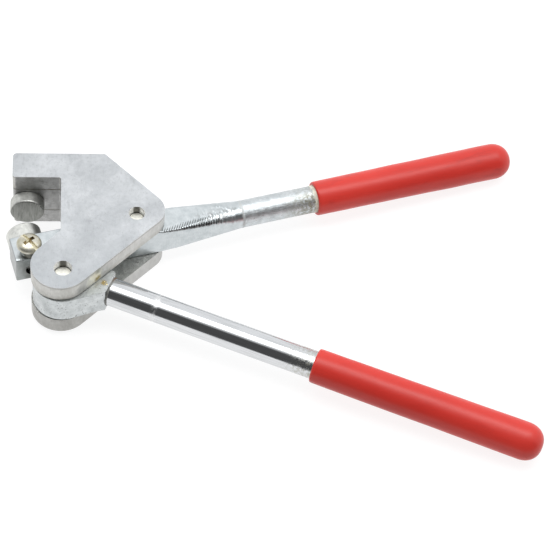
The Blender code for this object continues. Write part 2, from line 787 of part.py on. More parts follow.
clear_scene()
PARTS = make_collection("hand_seamer")
CUTTERS = make_collection("hand_seamer_cutters")
CUTTERS.hide_render = True
FRAME = make_empty("frame_origin", (0, 0, 0))
JAW = make_empty("jaw_lever_axis", (0, 0, 0), JAW_OPEN, FRAME)
CAM = make_empty("cam_lever_axis", (*FRONT_PIN_AT, 0), CAM_OPEN, FRAME)
CLAMP = make_empty("clamp_screw_axis", (CLAMP_ALONG, CLAMP_ACROSS, 0), 0, JAW)
HANDLE = make_empty("upper_handle_axis", handle_origin(), HANDLE_TILT, JAW)

make_top_plate()
make_bottom_plate()
make_head_block()
make_frame_screws()
make_pivot_pin("rear_pivot_pin", REAR_PIN_RADIUS, 0, 0)
make_pivot_pin("front_pivot_pin", FRONT_PIN_RADIUS, *FRONT_PIN_AT)
make_cam_washer()
make_fixed_die()
make_fixed_die_screw()
make_moving_die()
make_jaw_lever()
make_clamp_screw()
make_cam_lever()
make_handles()
stand_on_origin()
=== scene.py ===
"""Hand seamer, the looks: fine surfaces and procedural materials laid over the fixed CAD frame.

Shapes are drawn in millimetres. The frame's and the jaw lever's plans have the rear pin at their
origin, and the cam lever's has the front pin. +X runs towards the handles, +Z is square to the
plates, and z 0 is halfway between them.
"""

import functools
import json
import math

import bmesh
import bpy
from mathutils import Matrix, Vector, noise


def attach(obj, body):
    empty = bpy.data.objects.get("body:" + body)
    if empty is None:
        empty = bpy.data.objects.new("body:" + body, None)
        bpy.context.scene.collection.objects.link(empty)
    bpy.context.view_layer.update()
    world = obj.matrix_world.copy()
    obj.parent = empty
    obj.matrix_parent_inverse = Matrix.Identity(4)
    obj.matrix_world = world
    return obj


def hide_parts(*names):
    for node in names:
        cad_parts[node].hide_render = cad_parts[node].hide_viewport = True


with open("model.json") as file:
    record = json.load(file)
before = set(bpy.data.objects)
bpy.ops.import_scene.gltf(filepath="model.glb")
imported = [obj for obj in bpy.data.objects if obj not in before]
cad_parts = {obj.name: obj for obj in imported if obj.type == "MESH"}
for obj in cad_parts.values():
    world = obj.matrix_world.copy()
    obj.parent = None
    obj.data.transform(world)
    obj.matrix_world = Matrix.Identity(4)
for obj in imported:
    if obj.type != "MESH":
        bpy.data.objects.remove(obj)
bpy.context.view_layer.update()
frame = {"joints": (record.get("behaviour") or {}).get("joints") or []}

MM = 0.001
FIT = 0.3
RUNNING = 0.12
JOINTS = {joint["name"]: joint for joint in frame["joints"]}
REAR_PIN = Vector(JOINTS["jaw_lever_turn"]["pos_m"])
FRONT_PIN = Vector(JOINTS["cam_lever_turn"]["pos_m"])
CLAMP_AXIS = Vector(JOINTS["clamp_screw_turn"]["pos_m"])
JAW_OPEN = math.radians(-JOINTS["jaw_lever_turn"]["range_deg"][0])
CAM_OPEN = math.radians(-24.2)
FRAME_AT = Matrix.Translation(REAR_PIN)
JAW_AT = FRAME_AT @ Matrix.Rotation(JAW_OPEN, 4, "Z")
CAM_AT = Matrix.Translation(FRONT_PIN) @ Matrix.Rotation(CAM_OPEN, 4, "Z")
CLAMP_AT = Matrix.Translation(CLAMP_AXIS) @ Matrix.Rotation(JAW_OPEN, 4, "Z")
TO_Y = Matrix.Rotation(-math.pi / 2, 4, "X")
TO_MINUS_Y = Matrix.Rotation(math.pi / 2, 4, "X")
TO_X = Matrix.Rotation(math.pi / 2, 4, "Y")
UPSIDE_DOWN = Matrix.Rotation(math.pi, 4, "X")

# The frame plates and the block between them
PLATE_THICK = 12.5
HALF_GAP = 11.5
PLATE_TOP = HALF_GAP + PLATE_THICK
PLATE_MIDDLE = HALF_GAP + PLATE_THICK / 2
BACK_Y = 52.0
THROAT_Y = 30.7
THROAT_X = -50.8
NOSE_X = -83.6
SHOULDER_X = -21.0
SHOULDER_ANGLE = math.radians(-47)
HEEL_RADIUS = 15.0
LOBE_AT = (-50.6, -43.3)
LOBE_RADIUS = 19.6
FRONT_ANGLE = math.radians(44.2)
NECK_ANGLE = math.radians(46.5)
BLOCK_REAR_Y = 16.5
FRAME_SCREWS_AT = ((-57.0, 41.0), (-30.0, 41.0), (-8.0, 23.5))

# Pins, dies and screws
REAR_PIN_RADIUS = 5.4
FRONT_PIN_RADIUS = 5.9
PIN_RECESS = 5.4
PIN_DOME = 0.7
WASHER_RADIUS = 12.0
DIE_SHANK_RADIUS = 5.4
FIXED_DIE_RADIUS = 11.6
FIXED_DIE_X = -74.0
FIXED_DIE_Z = -2.6
FIXED_DIE_FACE_Y = 21.6
FIXED_SHANK_LENGTH = 12.0
MOVING_DIE_RADIUS = 11.9
MOVING_DIE_ALONG = -73.4
MOVING_DIE_Z = -1.2
MOVING_DIE_FACE = 21.3
MOVING_SHANK_END = -7.0
CAP_HEAD_RADIUS = 5.0
CAP_HEAD_HEIGHT = 6.0
CAP_SHANK_RADIUS = 2.9
CAP_SOCKET_RADIUS = 2.9
CAP_SOCKET_DEPTH = 3.2
FRAME_SCREW_REACH = 9.0
DIE_SCREW_SUNK = 7.0
DIE_SCREW_REACH = 6.5
DIE_THREAD_SPARE = 1.5
FACE_NICKS = ((-38, 0.5), (-48, 0.35), (-57, 0.6))  # where in degrees, and how wide

# Jaw lever and its clamp screw
BAR_HALF_WIDTH = 10.0
BAR_HALF_HEIGHT = 11.0
BAR_START = -85.4
BAR_EDGE = 0.8
JAW_EDGE_ROLL = (-52.0, 1.3, 0.2)  # where it ends, how wide and how deep it is
BAR_TAPER_START = 14.0
BAR_SQUARE_END = 27.0
BAR_SQUARE_END_HALF_HEIGHT = 10.4
BAR_ROUND_START = 74.5
ROUND_SHORT = 0.02
SPIGOT_RADIUS = 7.2
SPIGOT_LENGTH = 22.0
HANDLE_TILT = math.radians(0.6)
TICKS = (14.0, 64.0)  # the forging marks' first and last places along the bar
TICK_PITCH = 1.75
TICK_DEPTH = 0.40
TICK_LEAN = 0.55
CLAMP_ALONG = -74.9
CLAMP_ACROSS = -4.2
CLAMP_SHANK_RADIUS = 3.85
CLAMP_COLLAR_TOP_RADIUS = 7.4
CLAMP_COLLAR_FOOT_RADIUS = 5.8
CLAMP_COLLAR_LOW = BAR_HALF_HEIGHT + FIT
CLAMP_HEAD_RADIUS = 8.35
CLAMP_HEAD_UNDER = 18.3
CLAMP_HEAD_HEIGHT = 5.2
CLAMP_HEAD_RIM = 1.2
CLAMP_TIP_Z = MOVING_DIE_Z + DIE_SHANK_RADIUS + FIT
THREAD_PITCH = 1.25
THREAD_DEPTH = 0.55
SCREW_STEPS = 48
CLAMP_SLOT_TURN = math.radians(-63)
CLAMP_SLOT = (20.0, 2.4, 5.6)  # length, width and twice the depth
CLAMP_CROSS = (2.4, 8.4, 7.2)

# Cam lever
CAM_RATIO = 1.37
CAM_THICK = 20.0
CAM_TOP = HALF_GAP - 0.5
CAM_MID = CAM_TOP - CAM_THICK / 2
HUB_AT = (-1.25, 1.2)
HUB_RADIUS = 19.4
TUBE_ACROSS = 10.9
NOSE_BACK = (1.5, -3.5)
BLOCK_SHOULDER = (22.0, 20.8)
BLOCK_END = 29.3
BLOCK_HIGH = 20.3
BLOCK_LOW = 2.0
BLOCK_HEEL = (24.7, -1.2)
SPATTER_AT = (27.4, 8.5)

# Handles
TUBE_RADIUS = 9.5
TUBE_BORE = 7.5
UPPER_GRIP = (129.5, 279.5)
LOWER_GRIP = (174.2, 330.0)
UPPER_GRIP_RADII = (12.0, 12.8)
LOWER_GRIP_RADII = (11.6, 12.5)
GRIP_WALL_END = 11.0
RING_MARK_AT = 63.0

FINE_ARC = math.radians(3)
ROUND = 96
OPEN_PROFILE = {"loop": False, "step_angle": math.radians(15)}


# ---------------- materials


def feed(tree, socket, value):
    """Links a socket to another, or gives it a fixed value."""
    if isinstance(value, bpy.types.NodeSocket):
        tree.links.new(value, socket)
    elif socket.type == "RGBA":
        socket.default_value = (*value, 1)
    else:
        socket.default_value = value


def add_node(tree, kind, inputs=(), output=0, **settings):
    """A shader node with these inputs and settings. Returns one of its outputs."""
    made = tree.nodes.new("ShaderNode" + kind)
    for name, value in settings.items():
        setattr(made, name, value)
    for name, value in dict(inputs).items():
        feed(tree, made.inputs[name], value)
    return made.outputs[output]


class Look:
    """A material built up in layers of colour and relief, in the piece's own millimetres."""

    def __init__(self, name, metallic):
        self.material = bpy.data.materials.new(name)
        self.material.use_nodes = True
        self.tree = self.material.node_tree
        self.shader = self.tree.nodes["Principled BSDF"]
        self.shader.inputs["Metallic"].default_value = metallic
        self.place = self.node("TexCoord", output="Object")
        self.colour = None
        self.relief = None

    def node(self, kind, inputs=(), output=0, **settings):
        return add_node(self.tree, kind, inputs, output, **settings)

    def set(self, **inputs):
        """Feeds the shader. A name like base_color is the socket Base Color."""
        for name, value in inputs.items():
            feed(self.tree, self.shader.inputs[name.replace("_", " ").title()], value)

    # Patterns

    def speckle(self, size, detail=3, stretch=(1, 1, 1), rough=0.55):
        """Noise from 0 to 1 whose features are about this large."""
        spot = self.node("Mapping", {"Vector": self.place, "Scale": stretch})
        values = {"Vector": spot, "Scale": 1000 / size, "Detail": detail, "Roughness": rough}
        return self.node("TexNoise", values)

    def patches(self, low, high, size, detail=3, stretch=(1, 1, 1), rough=0.55):
        """Noise parted into 0 at low and 1 at high, with a soft border between them."""
        return self.between(self.speckle(size, detail, stretch, rough), low, high)

    def dots(self, size, radius, core):
        """Scattered dots about this far apart: 0 from their radius out, 1 in their core."""
        cells = self.node("TexVoronoi", {"Vector": self.place, "Scale": 1000 / size})
        return self.between(cells, radius, core)

    def coordinate(self, axis):
        """One object coordinate, in metres."""
        return self.node("SeparateXYZ", {"Vector": self.place}, "XYZ".index(axis))

    def along(self, axis, start, end):
        """0 to 1 between two places along an axis."""
        return self.between(self.coordinate(axis), start * MM, end * MM)

    def near(self, point, reach):
        """1 at a point, falling to 0 at this reach."""
        ends = {0: self.place, 1: Vector(point) * MM}
        far = self.node("VectorMath", ends, "Value", operation="DISTANCE")
        return self.between(far, reach * MM, 0.0)

    def turn(self):
        """The angle about X, in radians: 0 on the front side and a quarter turn on top."""
        return self.math("ARCTAN2", self.coordinate("Z"), self.scaled(self.coordinate("Y"), -1))

    # Arithmetic

    def math(self, operation, first, second=0.0, third=0.0):
        return self.node("Math", {0: first, 1: second, 2: third}, operation=operation)

    def between(self, value, low, high):
        """0 at low, 1 at high, clamped."""
        return self.node("MapRange", {"Value": value, "From Min": low, "From Max": high})

    def vary(self, value, low, high):
        """Spreads a 0 to 1 value over another range."""
        return self.node("MapRange", {"Value": value, "To Min": low, "To Max": high})

    def scaled(self, value, scale, offset=0.0):
        return self.math("MULTIPLY_ADD", value, scale, offset)

    def times(self, first, *others):
        for value in others:
            first = self.math("MULTIPLY", first, value)
        return first

    def mix(self, share, first, second):
        return self.node("Mix", {0: share, 6: first, 7: second}, 2, data_type="RGBA")

    # Layers

    def tones(self, share, first, second):
        """Starts the colour as a mix of two tones."""
        self.colour = self.mix(share, first, second)

    def stain(self, share, tone, strength=1.0):
        """Lays a tone over the colour so far."""
        self.colour = self.mix(self.times(share, strength), self.colour, tone)

    def dent(self, height, depth):
        """Adds a bump this deep to the relief so far."""
        values = {"Height": height, "Distance": depth * MM}
        if self.relief is not None:
            values["Normal"] = self.relief
        self.relief = self.node("Bump", values)

    def finish(self, rough):
        self.set(base_color=self.colour, roughness=rough, normal=self.relief)
        return self.material


def cast_face():
    """The plates' faces: ground aluminium, blotched, finely mottled and faintly scratched."""
    look = Look("cast_aluminium_face", 1.0)
    blotches = look.patches(0.36, 0.66, 24, 5, rough=0.7)
    look.tones(blotches, (0.41, 0.425, 0.44), (0.545, 0.56, 0.575))
    look.stain(look.along("Y", -12, -60), (0.30, 0.32, 0.335), 0.42)
    mottle = look.patches(0.52, 0.70, 1.9, 5, (1.0, 0.7, 1.0), 0.8)
    look.stain(mottle, (0.26, 0.265, 0.275), 0.34)
    grain = look.patches(0.55, 0.70, 1.0, 4, (1.0, 0.3, 1.0), 0.75)
    look.stain(grain, (0.30, 0.305, 0.31), 0.30)
    smears = look.patches(0.60, 0.78, 6, 5, (1.0, 0.35, 1.0), 0.7)
    look.stain(smears, (0.25, 0.255, 0.265), 0.50)
    look.stain(look.dots(2.6, 0.17, 0.05), (0.20, 0.20, 0.21), 0.35)
    look.dent(look.speckle(9), 0.10)
    look.dent(look.speckle(0.9, 4, rough=0.75), 0.05)
    scratches = look.patches(0.60, 0.72, 1.2, 2, (0.05, 1.0, 1.0))
    look.dent(scratches, -0.015)
    return look.finish(look.vary(look.speckle(3.5, 4, rough=0.7), 0.42, 0.64))


def sawn_side(name, tones, stained_and_shaded=False):
    """The plates' sides: sawn across the thickness, warmer and duller than the faces."""
    look = Look(name, 0.75)
    lines = look.speckle(0.9, 4, (1.0, 1.0, 0.06), 0.7)
    bands = look.patches(0.34, 0.66, 6, 5, (1.0, 1.0, 0.6), 0.7)
    look.tones(bands, *tones)
    look.stain(lines, (0.34, 0.335, 0.32), 0.30)
    soil = look.patches(0.54, 0.70, 2.4, 5, rough=0.8)
    look.stain(soil, (0.23, 0.22, 0.18), 0.35)
    heel = look.along("X", -22, 4)
    look.stain(heel, (0.70, 0.705, 0.70), 0.35)
    if stained_and_shaded:
        stain_and_shade_side(look, bands)
    look.dent(lines, 0.04)
    return look.finish(look.vary(lines, 0.38, 0.66))


def stain_and_shade_side(look, bands):
    """Darker and browner low on the side, a painted shaded dip, cream, brown and green stains above
    the weld, and a darker band under the top edge.
    """
    soil = look.times(look.along("Z", -1, -6), look.vary(bands, 0.5, 0.1))
    look.stain(soil, (0.25, 0.24, 0.19))
    # Painted shade: a grey dip low on the lobe's side.
    look.stain(look.near((-37.9, -58.2, -2.0), 5.0), (0.26, 0.26, 0.25), 0.75)
    cream = look.times(look.near((-28.5, -49.2, -1.0), 9.5), look.speckle(3, 4))
    look.stain(look.between(cream, 0.08, 0.34), (0.90, 0.88, 0.76))
    brown = look.times(look.near((-26.4, -47.1, -3.7), 3.6), look.patches(0.30, 0.50, 2.2, 4))
    look.stain(brown, (0.42, 0.34, 0.15), 1.5)
    look.stain(look.near((-26.2, -46.9, 3.6), 3.4), (0.27, 0.27, 0.19), 0.8)
    look.stain(look.along("Z", 4.2, 5.0), (0.26, 0.26, 0.25), 0.4)


def worn(name, metallic, pattern, tones, depth, rough):
    """A plain look: one pattern gives its two tones, its relief and how its roughness varies."""
    look = Look(name, metallic)
    share = look.patches(**pattern)
    look.tones(share, *tones)
    look.dent(share, depth)
    return look.finish(look.vary(share, *rough) if isinstance(rough, tuple) else rough)


def rubbed_edge_highlight():
    """Rounded edges, rubbed, and painted near-white as a highlight."""
    rub = {"low": 0.34, "high": 0.58, "size": 2.5, "detail": 4, "rough": 0.7}
    return worn("rubbed_edge_highlight", 0.1, rub, ((0.80, 0.80, 0.79), (0.97, 0.97, 0.96)), 0.02, 0.5)


def block_side():
    """The head block and the throat's walls: milled, grey, dirty near the joints."""
    look = Look("milled_aluminium", 1.0)
    sweep = look.speckle(1.6, 4, (1.0, 1.0, 0.12), 0.65)
    blotches = look.patches(0.35, 0.68, 6, 5, rough=0.7)
    look.tones(blotches, (0.33, 0.33, 0.325), (0.52, 0.52, 0.515))
    look.stain(look.patches(0.54, 0.72, 3.2, 5, rough=0.75), (0.17, 0.17, 0.155), 0.6)
    joint = look.between(look.math("ABSOLUTE", look.coordinate("Z")), 9.8 * MM, 11.3 * MM)
    look.stain(look.times(joint, look.patches(0.3, 0.6, 3)), (0.16, 0.15, 0.12))
    look.dent(sweep, 0.05)
    return look.finish(look.vary(sweep, 0.38, 0.62))


def inner_face():
    """The plates' inner faces: oily, dark and never cleaned."""
    look = Look("oily_inner_face", 0.8)
    oil = look.patches(0.34, 0.66, 7, 5, rough=0.75)
    look.tones(oil, (0.42, 0.425, 0.40), (0.78, 0.785, 0.75))
    grit = look.patches(0.50, 0.66, 1.0, 4, rough=0.8)
    look.stain(grit, (0.12, 0.12, 0.11), 0.4)
    look.dent(grit, 0.06)
    return look.finish(look.vary(grit, 0.40, 0.62))


def bore_wall():
    """Reamed bores: a painted highlight, near-white and diffuse, at the sides, and painted shade on
    the wall towards the back.
    """
    look = Look("reamed_bore", 0.0)
    facing = look.node("TexCoord", output="Normal")
    front = look.node("SeparateXYZ", {"Vector": facing}, 1)
    look.tones(look.between(front, -0.86, -0.96), (0.97, 0.97, 0.95), (0.11, 0.105, 0.09))
    look.dent(look.speckle(0.6, 2, (0.02, 0.02, 1.0)), 0.01)
    return look.finish(0.3)


def turned_steel(name, colour, rough, ring=0.03, dark_below=None):
    """Lathe-turned steel with rings round its own Z and a soiled bloom.

    The ends can stay clean and the rest take painted shade, near-black, parted at a height.
    """
    look = Look(name, 1.0)
    bloom = look.patches(0.38, 0.68, 3.4, 4, rough=0.7)
    look.tones(look.times(bloom, 0.75), colour, tuple(0.60 * part for part in colour))
    if dark_below is not None:
        # Painted shade below this height: a near-black ring round a pin's domed end, where it meets
        # its bore.
        height = look.math("ABSOLUTE", look.coordinate("Z"))
        dark_tone_and_shade = look.between(height, dark_below * MM, (dark_below - 0.15) * MM)
        look.stain(dark_tone_and_shade, (0.035, 0.033, 0.028))
    look.dent(look.speckle(0.45, 3, (0.04, 0.04, 1.0)), ring)
    return look.finish(look.vary(look.speckle(2), rough - 0.08, rough + 0.12))


def die_face():
    """The die's working face: faced off, then worn by sheet metal drawn across it."""
    look = Look("die_face_steel", 1.0)
    drawn = look.speckle(0.9, 4, (1.0, 0.10, 1.0), 0.7)
    wear = look.patches(0.38, 0.66, 4, 4, (1.0, 0.35, 1.0))
    look.tones(wear, (0.25, 0.255, 0.24), (0.34, 0.345, 0.325))
    look.stain(look.between(drawn, 0.50, 0.72), (0.17, 0.175, 0.16))
    look.dent(drawn, 0.03)
    return look.finish(look.vary(drawn, 0.36, 0.6))


def zinc(name, rough, tones, blotch):
    """Bluish zinc plate over worked steel: the look, ready for more layers, and its roughness."""
    look = Look(name, 1.0)
    look.tones(look.patches(0.36, 0.66, 6, 5, rough=0.7), *tones)
    look.stain(look.patches(0.60, 0.74, 1.1, 4, rough=0.75), (0.30, 0.315, 0.31), blotch)
    look.dent(look.speckle(3.2, 4, rough=0.65), 0.05)
    look.dent(look.speckle(0.7), 0.012)
    return look, look.vary(look.speckle(2.4, 4), rough - 0.07, rough + 0.14)


def zinc_tube():
    """The upper tube: scratched and pitted low on its front, with grime up to the grip."""
    look, rough = zinc("zinc_tube", 0.29, ((0.50, 0.535, 0.55), (0.68, 0.715, 0.73)), 0.25)
    start = UPPER_GRIP[0] - 28
    turn = look.turn()
    grime = look.times(look.patches(0.56, 0.46, 2.2, 5, rough=0.8), look.along("X", start, start + 24))
    grime = look.times(grime, look.vary(look.between(turn, 1.5, 1.1), 0.35, 1.0))
    look.stain(grime, (0.19, 0.175, 0.10), 0.95)
    look.set(metallic=look.vary(grime, 1.0, 0.2))
    scratch = look.patches(0.54, 0.66, 1.0, 4, (0.6, 1.0, 1.0), 0.8)
    look.stain(look.times(scratch, look.between(turn, 1.35, 1.05)), (0.24, 0.24, 0.225), 0.6)
    look.dent(look.speckle(1.1, 4, (0.7, 1.0, 1.0), 0.8), 0.34)
    return look.finish(rough)


def zinc_bar():
    """The jaw lever: forging marks, hammer scars on its neck, and painted shade on its jaw end and on
    the front face next to it.
    """
    look, rough = zinc("zinc_bar", 0.30, ((0.50, 0.54, 0.555), (0.63, 0.665, 0.68)), 0.3)
    mark_ticks(look)
    # Painted shade on the jaw end face.
    look.stain(look.along("X", -84.6, -85.2), (0.25, 0.255, 0.25), 0.7)
    # Painted shade, mottled, on the front face towards the jaw end.
    front = look.times(look.along("Y", -9.6, -9.9), look.along("X", -50, -70))
    look.stain(look.times(front, look.vary(look.speckle(4, 4), 0.3, 1.0)), (0.27, 0.28, 0.265))
    turn = look.turn()
    round_front = look.times(look.between(turn, 0.72, 0.90), look.between(turn, 1.75, 1.30))
    beaten = look.times(look.along("X", 36, 48), round_front)
    blows = look.speckle(2.0, 3, (1.0, 0.6, 1.0), 0.6)
    scars = look.times(look.between(blows, 0.50, 0.40), beaten)
    look.stain(scars, (0.22, 0.22, 0.21), 0.6)
    look.dent(look.times(blows, beaten), 0.30)
    return look.finish(rough)


def mark_ticks(look):
    """Dark scale in the forging marks, and a painted shade line on the corner below them."""
    first, last = TICKS
    growth = look.along("X", first, first + 24)
    ends = look.times(look.along("X", first, first + 2), look.along("X", last, last - 14))
    turn = look.scaled(look.turn(), 180 / math.pi)
    inward = look.scaled(look.coordinate("Y"), 1 / MM, BAR_HALF_WIDTH)
    leaning_back = look.scaled(inward, -TICK_LEAN / TICK_PITCH)
    strokes = look.scaled(look.coordinate("X"), 1 / MM / TICK_PITCH, leaning_back)
    phase = look.scaled(look.math("FRACT", strokes), 1, -0.5)
    stroke = look.between(look.math("ABSOLUTE", phase), 0.26, 0.10)
    under_limit = look.math("SUBTRACT", look.scaled(growth, 15.0, 55.0), turn)
    mark = look.times(stroke, look.between(under_limit, -0.5, 7.0), look.between(turn, 45, 46), ends)
    # Painted shade: a dark line on the corner below the marks.
    over_limit = look.math("SUBTRACT", turn, look.scaled(growth, -7.0, 44.5))
    shade_line = look.times(look.between(over_limit, -1.5, 1.0), look.between(turn, 47.0, 45.5), ends)
    ragged = look.vary(look.patches(0.35, 0.6, 1.3), 0.45, 1.0)
    look.stain(mark, (0.09, 0.09, 0.09), 0.85)
    look.stain(look.times(shade_line, ragged), (0.07, 0.065, 0.065))


def cast_zinc():
    """The cam lever: zinc plate on a rough casting, stained where the weld spat."""
    look = Look("plated_casting", 1.0)
    blotches = look.patches(0.36, 0.66, 8, 5, rough=0.72)
    look.tones(blotches, (0.47, 0.495, 0.50), (0.68, 0.705, 0.71))
    look.stain(look.patches(0.55, 0.66, 1.7, 5, rough=0.8), (0.25, 0.26, 0.245), 0.6)
    pits = look.times(look.dots(2.1, 0.24, 0.12), look.patches(0.44, 0.56, 7))
    look.stain(pits, (0.09, 0.09, 0.085), 0.85)
    look.stain(look.along("Z", 9.2, 9.8), (0.33, 0.35, 0.34), 0.5)
    heat = look.near((SPATTER_AT[0] - 2.0, SPATTER_AT[1] + 0.4, CAM_THICK / 2), 3.2)
    heat = look.times(heat, look.patches(0.26, 0.50, 1.8))
    look.stain(look.between(heat, 0.10, 0.60), (0.33, 0.26, 0.12))
    look.dent(look.speckle(4.5, 4, rough=0.65), 0.22)
    look.dent(look.speckle(0.9, 4, rough=0.7), 0.06)
    return look.finish(look.vary(look.speckle(3, 4), 0.30, 0.55))


def chrome():
    """Polished chrome with a rubbed ring near the block and haze by the grip."""
    look = Look("chrome_plate", 1.0)
    from_ring = look.math("ABSOLUTE", look.scaled(look.coordinate("X"), 1, -RING_MARK_AT * MM))
    ring = look.between(from_ring, 3.0 * MM, 0.6 * MM)
    ring = look.times(ring, look.patches(0.34, 0.56, 2.2, 4))
    haze = look.along("X", LOWER_GRIP[0] - 24, LOWER_GRIP[0] - 4)
    haze = look.times(haze, look.patches(0.46, 0.58, 2.2, 5, rough=0.75))
    marks = look.math("MAXIMUM", ring, haze)
    dust = look.patches(0.66, 0.78, 2.8, 5, rough=0.8)
    streaks = look.patches(0.44, 0.64, 1.6, 5, (0.06, 1.0, 1.0), 0.7)
    look.tones(streaks, (0.69, 0.70, 0.715), (0.58, 0.59, 0.60))
    look.stain(haze, (0.40, 0.40, 0.34), 0.8)
    look.stain(ring, (0.82, 0.82, 0.82), 0.6)
    look.dent(look.speckle(24, 2), 0.035)
    look.dent(marks, 0.03)
    rough = look.scaled(streaks, 0.04, look.vary(marks, 0.105, 0.36))
    return look.finish(look.scaled(dust, 0.06, rough))


def yellow_zinc():
    """Yellow-passivated zinc on the clamp screw, with painted shade on the collar under the head."""
    look = Look("yellow_zinc", 0.75)
    look.tones(look.patches(0.34, 0.66, 3.2), (0.60, 0.585, 0.52), (0.46, 0.43, 0.32))
    look.stain(look.patches(0.56, 0.70, 1.2, 4, rough=0.7), (0.30, 0.27, 0.17), 0.5)
    # Painted shade under the head: the collar below it is near-black and less metallic.
    collar = look.along("Z", CLAMP_HEAD_UNDER, CLAMP_HEAD_UNDER - 0.5)
    look.stain(collar, (0.08, 0.078, 0.052))
    look.set(metallic=look.vary(collar, 0.75, 0.25))
    look.dent(look.speckle(1.3), 0.02)
    return look.finish(look.vary(look.speckle(1.4), 0.24, 0.40))


def recess(name, dark_tone_and_shade, bright):
    """The inside of the clamp screw's slot or cross."""
    return worn(name, 1.0, {"low": 0.35, "high": 0.65, "size": 1.1}, (dark_tone_and_shade, bright), 0.03, 0.42)


def black_oxide():
    """The hidden screws: black, rubbed paler in places."""
    look = Look("black_oxide", 1.0)
    rub = look.patches(0.5, 0.75, 2, 4, rough=0.7)
    look.tones(look.times(rub, 0.5), (0.055, 0.055, 0.06), (0.22, 0.22, 0.22))
    look.dent(rub, 0.02)
    return look.finish(look.vary(look.speckle(0.8), 0.34, 0.5))


def weld(name, rust):
    """Weld metal: scaled, with rust where its plating failed."""
    look = Look(name, 0.8)
    scale = look.speckle(1.6, 5, rough=0.75)
    if rust:
        back = look.times(look.along("Y", 1, 6), look.between(scale, 0.34, 0.5))
        look.tones(back, (0.26, 0.26, 0.245), (0.26, 0.14, 0.075))
    else:
        look.tones(scale, (0.44, 0.46, 0.46), (0.66, 0.68, 0.68))
    look.dent(scale, 0.12)
    return look.finish(look.vary(scale, 0.45, 0.85))


def spatter_brass():
    """Beads of weld spatter, tinted like brass by heat."""
    heat = {"low": 0.3, "high": 0.7, "size": 1.0, "detail": 2}
    return worn("spatter", 1.0, heat, ((0.84, 0.77, 0.52), (0.50, 0.41, 0.20)), 0.04, 0.25)


def red_vinyl(name, soil):
    """Dipped vinyl: glossy, slightly uneven, with handling smudges along it."""
    look = Look(name, 0.0)
    look.shader.inputs["Specular IOR Level"].default_value = 0.36
    tone = look.patches(0.35, 0.68, 34, 3, (0.35, 1.0, 1.0))
    look.tones(tone, (0.53, 0.028, 0.020), (0.62, 0.040, 0.029))
    smudges = look.patches(0.54, 0.74, 9, 5, (0.30, 1.0, 1.0), 0.7)
    look.stain(smudges, (0.36, 0.030, 0.026), soil)
    dust = look.patches(0.64, 0.80, 2.2, 4, (0.6, 1.0, 1.0), 0.75)
    look.stain(dust, (0.60, 0.20, 0.17), 0.20)
    look.dent(look.speckle(28, 3, (0.5, 1.0, 1.0)), 0.45)
    look.dent(look.speckle(2.6), 0.02)
    return look.finish(look.vary(look.speckle(5, 4, (0.4, 1.0, 1.0)), 0.26, 0.44))


def dip_edge():
    """The thin pale film of vinyl primer that creeps out of the grip's mouth."""
    spread = {"low": 0.35, "high": 0.65, "size": 2.4, "detail": 4}
    tones = ((0.50, 0.505, 0.42), (0.74, 0.72, 0.60))
    return worn("dip_film", 0.0, spread, tones, 0.05, (0.35, 0.6))


def pale_floor():
    look = Look("floor", 0.0)
    look.set(base_color=(0.16, 0.16, 0.16), roughness=0.8)
    look.set(emission_color=(1.0, 1.0, 1.0), emission_strength=0.87)
    return look.material


# ---------------- outlines


def edge_line(x, y, angle):
    """A straight edge through a point: the point and its unit direction."""
    return Vector((x, y)), Vector((math.cos(angle), math.sin(angle)))


def crossing(first, second):
    """The point where two edges meet."""
    (a, u), (b, v) = first, second
    along = (b - a).cross(v) / u.cross(v)
    return a + u * along


def tangent_edge(centre, radius, angle):
    """The edge at this angle that touches a circle on the right of its direction."""
    cx, cy = centre
    return edge_line(cx + radius * math.sin(angle), cy - radius * math.cos(angle), angle)


def rounded(corners, loop=True, step_angle=FINE_ARC):
    """Points for corners given as (point, radius), each corner rounded by an arc."""
    points = []
    last = len(corners) - 1
    for i, (corner, radius) in enumerate(corners):
        if radius == 0 or (not loop and i in (0, last)):
            points.append(corner)
            continue
        before = (corners[i - 1][0] - corner).normalized()
        after = (corners[(i + 1) % len(corners)][0] - corner).normalized()
        half = before.angle(after) / 2
        centre = corner + (before + after).normalized() * radius / math.sin(half)
        start = corner + before * radius / math.tan(half) - centre
        sweep = start.angle_signed(corner + after * radius / math.tan(half) - centre)
        count = max(2, math.ceil(abs(sweep) / step_angle))
        for step in range(count + 1):
            points.append(centre + Matrix.Rotation(-sweep * step / count, 2) @ start)
    return points


def circle_points(x, y, radius, count=72):
    turns = [math.tau * step / count for step in range(count)]
    return [Vector((x + radius * math.cos(t), y + radius * math.sin(t))) for t in turns]


def turned_profile(corners, **options):
    """A lathe profile from (radius, height, rounding) corners."""
    given = [(Vector((radius, height)), rounding) for radius, height, rounding in corners]
    return rounded(given, **options)


def quarter(steps):
    """Sine and cosine pairs over a quarter turn, from a dome's top to its rim."""
    turns = [math.pi / 2 * step / steps for step in range(steps + 1)]
    return [(math.sin(turn), math.cos(turn)) for turn in turns]


# ---------------- meshes


def new_object(name, work, look=None):
    """An object from a bmesh drawn in millimetres."""
    bmesh.ops.recalc_face_normals(work, faces=work.faces)
    bmesh.ops.scale(work, vec=(MM, MM, MM), verts=work.verts)
    mesh = bpy.data.meshes.new(name)
    work.to_mesh(mesh)
    work.free()
    if look is not None:
        mesh.materials.append(look)
    obj = bpy.data.objects.new(name, mesh)
    bpy.context.scene.collection.objects.link(obj)
    return obj


def evaluated_mesh(obj):
    bpy.context.view_layer.update()
    graph = bpy.context.evaluated_depsgraph_get()
    return bpy.data.meshes.new_from_object(obj.evaluated_get(graph))


def add_modifier(obj, kind, **settings):
    """Adds a modifier and turns it into the mesh at once."""
    modifier = obj.modifiers.new(kind, kind)
    for name, value in settings.items():
        setattr(modifier, name, value)
    mesh = evaluated_mesh(obj)
    obj.modifiers.clear()
    obj.data = mesh


